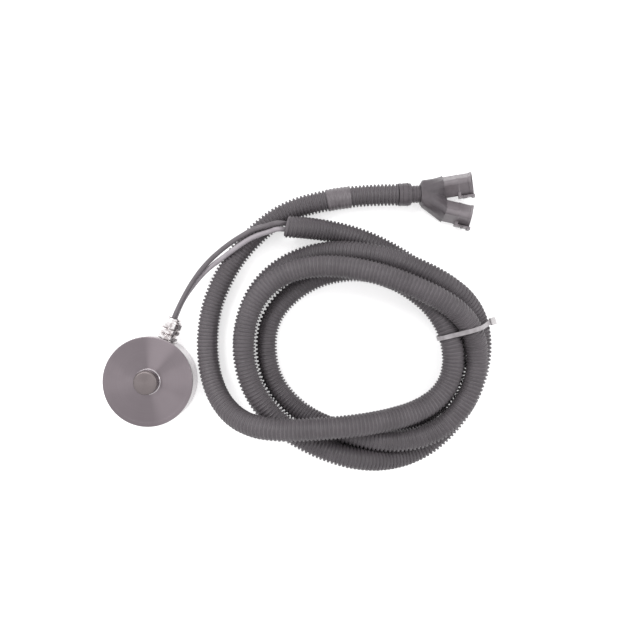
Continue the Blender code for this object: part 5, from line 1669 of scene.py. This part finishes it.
# %% [markdown]
# ### The boot as one moulding
# The two lofted arms are joined and each connector gets its pocket. A real moulding has no sharp edge where
# its arms meet, and a bevel fails on such a seam. So the joined form is remeshed into fine even faces and
# relaxed a little, which rounds every edge by well under a millimetre.

# %% Y boot
BOOT_VOXEL = 0.36 * MM
BOOT_RELAX = 0.5
BOOT_RELAX_TURNS = 4


def make_boot():
    """Both arms joined, with a pocket for each connector, remeshed and relaxed."""
    start = SEAT_GAP + COLLAR_LENGTH + NECK_LENGTH + SEAT_GAP
    root = tail_frame() @ Matrix.Translation((0.0, 0.0, start))
    arms = [boot_branch(matrix, roll, root) for matrix, roll in CONNECTORS.values()]
    boot = cut(arms[0], arms[1], "UNION")
    boot.name = "boot_moulded"
    for matrix, roll in CONNECTORS.values():
        pocket = [at_height(shell_outline(SEAT_GAP), height) for height in (-SEAT_GAP, SHELL_LENGTH)]
        cut(boot, loft("pocket", pocket, matrix))
    remesh = boot.modifiers.new("remesh", "REMESH")
    remesh.mode = "VOXEL"
    remesh.voxel_size = BOOT_VOXEL
    relax = boot.modifiers.new("relax", "SMOOTH")
    relax.factor = BOOT_RELAX
    relax.iterations = BOOT_RELAX_TURNS
    baked(boot)
    boot.data.shade_smooth()
    return boot


boot = dress(make_boot(), BOOT_BLACK, "boot_plastic", "y_boot")

# %% [markdown]
# ## Connector shells
# Each connector is a sealed three-way plug. Its shell is a rounded triangle with a stepped rim, lofted from
# sections, and a raised ring around its middle. Its rim is cut back towards the top, so the dark opening
# shows from above as a thin crescent. To lean the sections there, each outline's plane is tilted.

# %% Shell
SHELL_WALL = 1.4 * MM
RIM_LENGTH = 2.6 * MM
RIM_CHAMFER = 0.25 * MM
RING_GROWTH = 0.25 * MM
RING_FROM = 12.4 * MM
RING_TO = 14.6 * MM
RING_RISE = 0.4 * MM
MOUTH_CUT_BACK = math.radians(9.0)


def at_lean(outline, height, lean):
    """An outline at a height, with its plane tilted by lean in x and in y."""
    return [Vector((x, y, height + x * lean[0] + y * lean[1])) for x, y in outline]


def plain_shell(letter, matrix, roll):
    """The outer form of a shell, with its ring and its rim."""
    rim_at = SHELL_LENGTH - RIM_LENGTH
    upward = Matrix.Rotation(-roll, 2) @ Vector((0.0, 1.0))
    lean = upward * -math.tan(MOUTH_CUT_BACK)
    level = (0.0, 0.0)
    stations = [(0.0, -RING_GROWTH, level), (0.3 * MM, 0.0, level), (RING_FROM, 0.0, level),
                (RING_FROM + RING_RISE, RING_GROWTH, level), (RING_TO - RING_RISE, RING_GROWTH, level),
                (RING_TO, 0.0, level), (rim_at, 0.0, lean), (rim_at + RIM_GROWTH, RIM_GROWTH, lean),
                (SHELL_LENGTH - RIM_CHAMFER, RIM_GROWTH, lean),
                (SHELL_LENGTH, RIM_GROWTH - RIM_CHAMFER, lean)]
    sections = [at_lean(shell_outline(grow), height, tilt) for height, grow, tilt in stations]
    return loft("shell_%s" % letter, sections, matrix)


print("shell length in mm:", SHELL_LENGTH / MM)

# %% [markdown]
# ### Latch and hollows
# A springy latch arm runs beside the shell on one leg, with a hook at its end and three grip ribs. On the
# real object it faces level to the side. Arm, leg, hook and ribs are bars that are joined to the shell one by
# one. Only then are the mouth and the rear hollowed out, so no bar is left inside, and last every sharp edge
# gets a small round.

# %% Latch and hollows
MOUTH_DEPTH = 14.0 * MM
REAR_DEPTH = 3.3 * MM
LATCH_LENGTH = 13.5 * MM
LATCH_LEG = 2.4 * MM
LATCH_CLEAR = 0.7 * MM
LATCH_DROP = 2.3 * MM
RIB_HEIGHT = 0.45 * MM
RIB_FIRST = 3.6 * MM
RIB_PITCH = 1.5 * MM
RIB_WIDTH = 0.7 * MM
SHELL_EDGE = 0.16 * MM


def latch_side(roll):
    """Turn that lets the latch face level to the side, and how far the shell reaches there."""
    turn = Matrix.Rotation(-math.pi / 2 - roll, 2)
    out = turn @ Vector((0.0, -1.0))
    return turn, max(out.dot(Vector(point)) for point in shell_outline())


def latch_bars(side):
    """The bars of the latch, each with its two distances from the axis and its two heights."""
    near = side + LATCH_CLEAR
    far = near + LATCH_THICKNESS
    end = SHELL_LENGTH + LATCH_OVERHANG
    start = end - LATCH_LENGTH
    bars = [(near, far, start, end), (SHELL_WALL, far, start, start + LATCH_LEG),
            (near, far + LATCH_HOOK, end - LATCH_LEG, end)]
    for step in range(3):
        low = start + RIB_FIRST + step * RIB_PITCH
        bars.append((near, far + RIB_HEIGHT, low, low + RIB_WIDTH))
    return bars


def make_shell(letter, matrix, roll):
    """The shell, joined to its latch and hollowed at both ends."""
    shell = plain_shell(letter, matrix, roll)
    turn, side = latch_side(roll)
    for from_axis, to_axis, low, high in latch_bars(side):
        middle = -(from_axis + to_axis) / 2
        section = rectangle(LATCH_WIDTH, to_axis - from_axis)
        outline = [turn @ Vector((x + LATCH_DROP, y + middle)) for x, y in section]
        cut(shell, loft("bar", [at_height(outline, low), at_height(outline, high)], matrix), "UNION")
    inner = shell_outline(-SHELL_WALL)
    for low, high in ((SHELL_LENGTH - MOUTH_DEPTH, SHELL_LENGTH + SHELL_REACH), (-MM, REAR_DEPTH)):
        cut(shell, loft("hollow", [at_height(inner, low), at_height(inner, high)], matrix))
    return settled(bevelled(shell, SHELL_EDGE))


print("latch length in mm:", LATCH_LENGTH / MM)

# %% [markdown]
# ## Wedge, pins and rear seal
# In the mouth sits a wedge that locks the three contact pins, and a ribbed rubber seal closes the rear. They
# show only in the mouths and from behind, so they stay simple: two lofts and a turned pin with a round tip.

# %% Wedge, pins and rear seal
PIN_CIRCLE = 3.3 * MM
PIN_RADIUS = 0.8 * MM
PIN_LENGTH = 7.5 * MM
PIN_TIP = 0.5 * MM
HOLE_RADIUS = 1.1 * MM
WEDGE_HEIGHT = 2.6 * MM
WEDGE_CHAMFER = 0.4 * MM
WEDGE_AT = SHELL_LENGTH - MOUTH_DEPTH + SEAT_GAP
SEAL_RIBS = ((0.0, -0.2), (0.5, 0.0), (1.0, -0.2), (1.5, 0.0), (2.0, -0.2), (2.5, 0.0), (3.0, -0.2))


def pin_place(index):
    """Place of one of the three pins around the connector's axis."""
    turn = Matrix.Rotation(math.radians(90.0 + 120.0 * index), 4, "Z")
    return turn @ Matrix.Translation((PIN_CIRCLE, 0.0, 0.0))


def make_wedge(letter, matrix):
    """The wedge in the mouth, with a flared hole for each pin."""
    grow = -SHELL_WALL - SEAT_GAP
    edge = WEDGE_AT + WEDGE_HEIGHT - WEDGE_CHAMFER
    sections = [at_height(shell_outline(grow), WEDGE_AT), at_height(shell_outline(grow), edge),
                at_height(shell_outline(grow - WEDGE_CHAMFER), WEDGE_AT + WEDGE_HEIGHT)]
    wedge = loft("wedge_%s" % letter, sections, matrix)
    profile = [(0.0, WEDGE_AT - MM), (HOLE_RADIUS, WEDGE_AT - MM), (HOLE_RADIUS, edge),
               (HOLE_RADIUS + 0.5 * MM, edge + 0.5 * MM), (0.0, edge + 0.5 * MM)]
    for index in range(3):
        cut(wedge, turned("hole", profile, 32, matrix @ pin_place(index)))
    crisp(wedge.data)
    return settled(wedge)


def make_pin(letter, index, matrix):
    """A round contact pin that stands in the wedge."""
    top = WEDGE_AT + PIN_LENGTH
    profile = [(0.0, WEDGE_AT), (PIN_RADIUS, WEDGE_AT), (PIN_RADIUS, top - 0.9 * MM)]
    profile += arc((PIN_RADIUS - PIN_TIP, top - PIN_TIP), PIN_TIP, 10, 90, 6) + [(0.0, top)]
    return turned("pin_%s_%d" % (letter, index + 1), profile, 28, matrix @ pin_place(index))


def make_rear_seal(letter, matrix):
    """The rubber seal at the rear; its ribs are given as height and growth in mm."""
    sections = []
    for height, grow in SEAL_RIBS:
        sections.append(at_height(shell_outline(-SHELL_WALL - SEAT_GAP + grow * MM), height * MM))
    return settled(loft("seal_%s" % letter, sections, matrix))


connector_pieces = []
for letter, (matrix, roll) in CONNECTORS.items():
    node = "connector_%s_" % letter
    shell = dress(make_shell(letter, matrix, roll), SHELL_BLACK, "shell_plastic", node + "shell")
    wedge = dress(make_wedge(letter, matrix), WEDGE_GREY, "wedge_plastic", node + "wedge")
    seal = dress(make_rear_seal(letter, matrix), RUBBER, "black_rubber", node + "rear_seal")
    connector_pieces += [shell, wedge, seal]
    for index in range(3):
        pin_node = node + "pin_%d" % (index + 1)
        connector_pieces.append(dress(make_pin(letter, index, matrix), PIN, "pin_plate", pin_node))

# %% [markdown]
# ## Line of the cable tie
# One nylon tie is drawn around the strands at the right of the coil. A tie pulls straight from strand to
# strand, so its line is the convex outline of the strands where its plane cuts them, as a rubber band would
# lie. A strand that runs aslant through the plane shows there as an ellipse.

# %% Line of the tie
TIE_LEFT_PX = (438.5, 338.0)
TIE_RIGHT_PX = (490.0, 321.0)
TIE_SPAN = (-30 * MM, 70 * MM)
STRAND_RADIUS = 8.8 * MM


def convex_outline(points):
    """Counter-clockwise convex outline around a set of plane points."""
    ordered = sorted(set(points))
    hull = []
    for run in (ordered, list(reversed(ordered))):
        part = []
        for point in run:
            while len(part) >= 2:
                ahead = (part[-1][0] - part[-2][0], part[-1][1] - part[-2][1])
                turn = (point[0] - part[-2][0], point[1] - part[-2][1])
                if ahead[0] * turn[1] - ahead[1] * turn[0] > 0:
                    break
                part.pop()
            part.append(point)
        hull += part[:-1]
    return hull


def tie_crossings(left, across):
    """Where the conduit's line crosses the tie's upright plane, its direction there and how square it is."""
    normal = Vector((0.0, 0.0, 1.0)).cross(across)
    sides = (conduit_line - np.array(left)) @ np.array(normal)
    found = []
    for index in np.nonzero(sides[:-1] * sides[1:] <= 0)[0]:
        place = Vector(conduit_line[index]) - left
        if TIE_SPAN[0] < place.dot(across) < TIE_SPAN[1]:
            ahead = Vector(conduit_line[index + 1] - conduit_line[index]).normalized()
            found.append((place, ahead, abs(ahead.dot(normal))))
    return found


def crossing_outline(crossing, across, grow):
    """The strand's outline in the tie's plane: a circle, drawn out where the strand runs aslant."""
    place, ahead, squareness = crossing
    lean = math.atan2(ahead.z, ahead.dot(across))
    points = []
    for x, y in arc((0.0, 0.0), STRAND_RADIUS + grow, 0, 355, 71):
        x /= squareness
        points.append((round(place.dot(across) + x * math.cos(lean) - y * math.sin(lean), 7),
                       round(place.z + x * math.sin(lean) + y * math.cos(lean), 7)))
    return points


def tie_plane():
    """The tie's left end on the table and its direction, seen from above."""
    left = picture_point(*TIE_LEFT_PX, STRAND_RADIUS * 3)
    right = picture_point(*TIE_RIGHT_PX, STRAND_RADIUS)
    left.z = 0.0
    right.z = 0.0
    return left, (right - left).normalized()


print("the tie crosses strands:", len(tie_crossings(*tie_plane())))

# %% [markdown]
# ## Cable tie
# The strap is a flat band: the outer outline is lofted over the width, and the inner one is cut out of it.
# The head is a rounded block, joined at the outer side. It is moulded thicker than the strap and so it looks
# milkier, which a second finish on its faces gives.

# %% Cable tie
TIE_WIDTH = 3.6 * MM
TIE_THICKNESS = 1.0 * MM
TIE_SLACK = 0.75 * MM
TIE_HEAD = (6.0 * MM, 5.4 * MM, 4.6 * MM)
TIE_HEAD_ROUND = 0.8 * MM
TIE_EDGE = 0.22 * MM


def rounded_outline(corners, radius, steps):
    """A convex outline with round corners; the corner circles touch the corner's two sides."""
    outline = []
    for index in range(len(corners)):
        before = Vector(corners[index - 1])
        here = Vector(corners[index])
        after = Vector(corners[(index + 1) % len(corners)])
        to_before = (before - here).normalized()
        to_after = (after - here).normalized()
        half = to_before.angle(to_after) / 2.0
        centre = here + (to_before + to_after).normalized() * (radius / math.sin(half))
        start = here + to_before * (radius / math.tan(half)) - centre
        end = here + to_after * (radius / math.tan(half)) - centre
        first = math.atan2(start.y, start.x)
        turn = (math.atan2(end.y, end.x) - first + math.pi) % math.tau - math.pi
        for step in range(steps + 1):
            angle = first + turn * step / steps
            outline.append((centre.x + radius * math.cos(angle), centre.y + radius * math.sin(angle)))
    return outline


def tie_outlines(left, across):
    """Inner and outer outline of the strap in the tie's plane."""
    crossings = tie_crossings(left, across)
    outlines = []
    for grow in (TIE_SLACK, TIE_SLACK + TIE_THICKNESS):
        points = []
        for crossing in crossings:
            points += crossing_outline(crossing, across, grow)
        outlines.append(convex_outline(points))
    return outlines


def make_tie():
    """Strap and head as one piece, built flat and then stood up in the tie's plane."""
    left, across = tie_plane()
    inner, outer = tie_outlines(left, across)
    strap = loft("tie_strap", [at_height(outer, -TIE_WIDTH / 2), at_height(outer, TIE_WIDTH / 2)])
    cut(strap, loft("hole", [at_height(inner, -TIE_WIDTH), at_height(inner, TIE_WIDTH)]))
    outermost = max(outer)
    head = rounded_outline(rectangle(TIE_HEAD[2], TIE_HEAD[1]), TIE_HEAD_ROUND, 5)
    shift = (outermost[0] + TIE_HEAD[2] / 2 - TIE_THICKNESS / 2, outermost[1] + TIE_HEAD[1] / 2)
    moved = [(x + shift[0], y + shift[1]) for x, y in head]
    cut(strap, loft("head", [at_height(moved, -TIE_HEAD[0] / 2), at_height(moved, TIE_HEAD[0] / 2)]), "UNION")
    up = Vector((0.0, 0.0, 1.0))
    matrix = Matrix((across, up, across.cross(up))).transposed().to_4x4()
    matrix.translation = left
    strap.matrix_world = matrix
    return settled(bevelled(strap, TIE_EDGE))


tie = dress(make_tie(), TIE_NYLON, "tie_nylon", "cable_tie")
tie.data.materials.append(MILKY_NYLON)
head_from = max(vert.co.x for vert in tie.data.vertices) - TIE_HEAD[0]
for face in tie.data.polygons:
    face.material_index = 1 if face.center.x > head_from else 0

# %% [markdown]
# ## Pieces inside the disc
# The gauges, the terminal board and the inner leads are out of sight behind the cover. Gauges are thin foil
# on the steel, and the leads are soldered to the board. Finer pieces would show nothing, so their solids stay
# as they are and only take their materials.

# %% Inner pieces
INNER = {"strain_gauge": FOIL, "terminal_board": BOARD, "inner_lead": CABLE_DARK}
for name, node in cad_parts.items():
    for start, material in INNER.items():
        if name.startswith(start):
            for slot in node.material_slots:
                slot.material = material
            print("node", name, "keeps its shape")
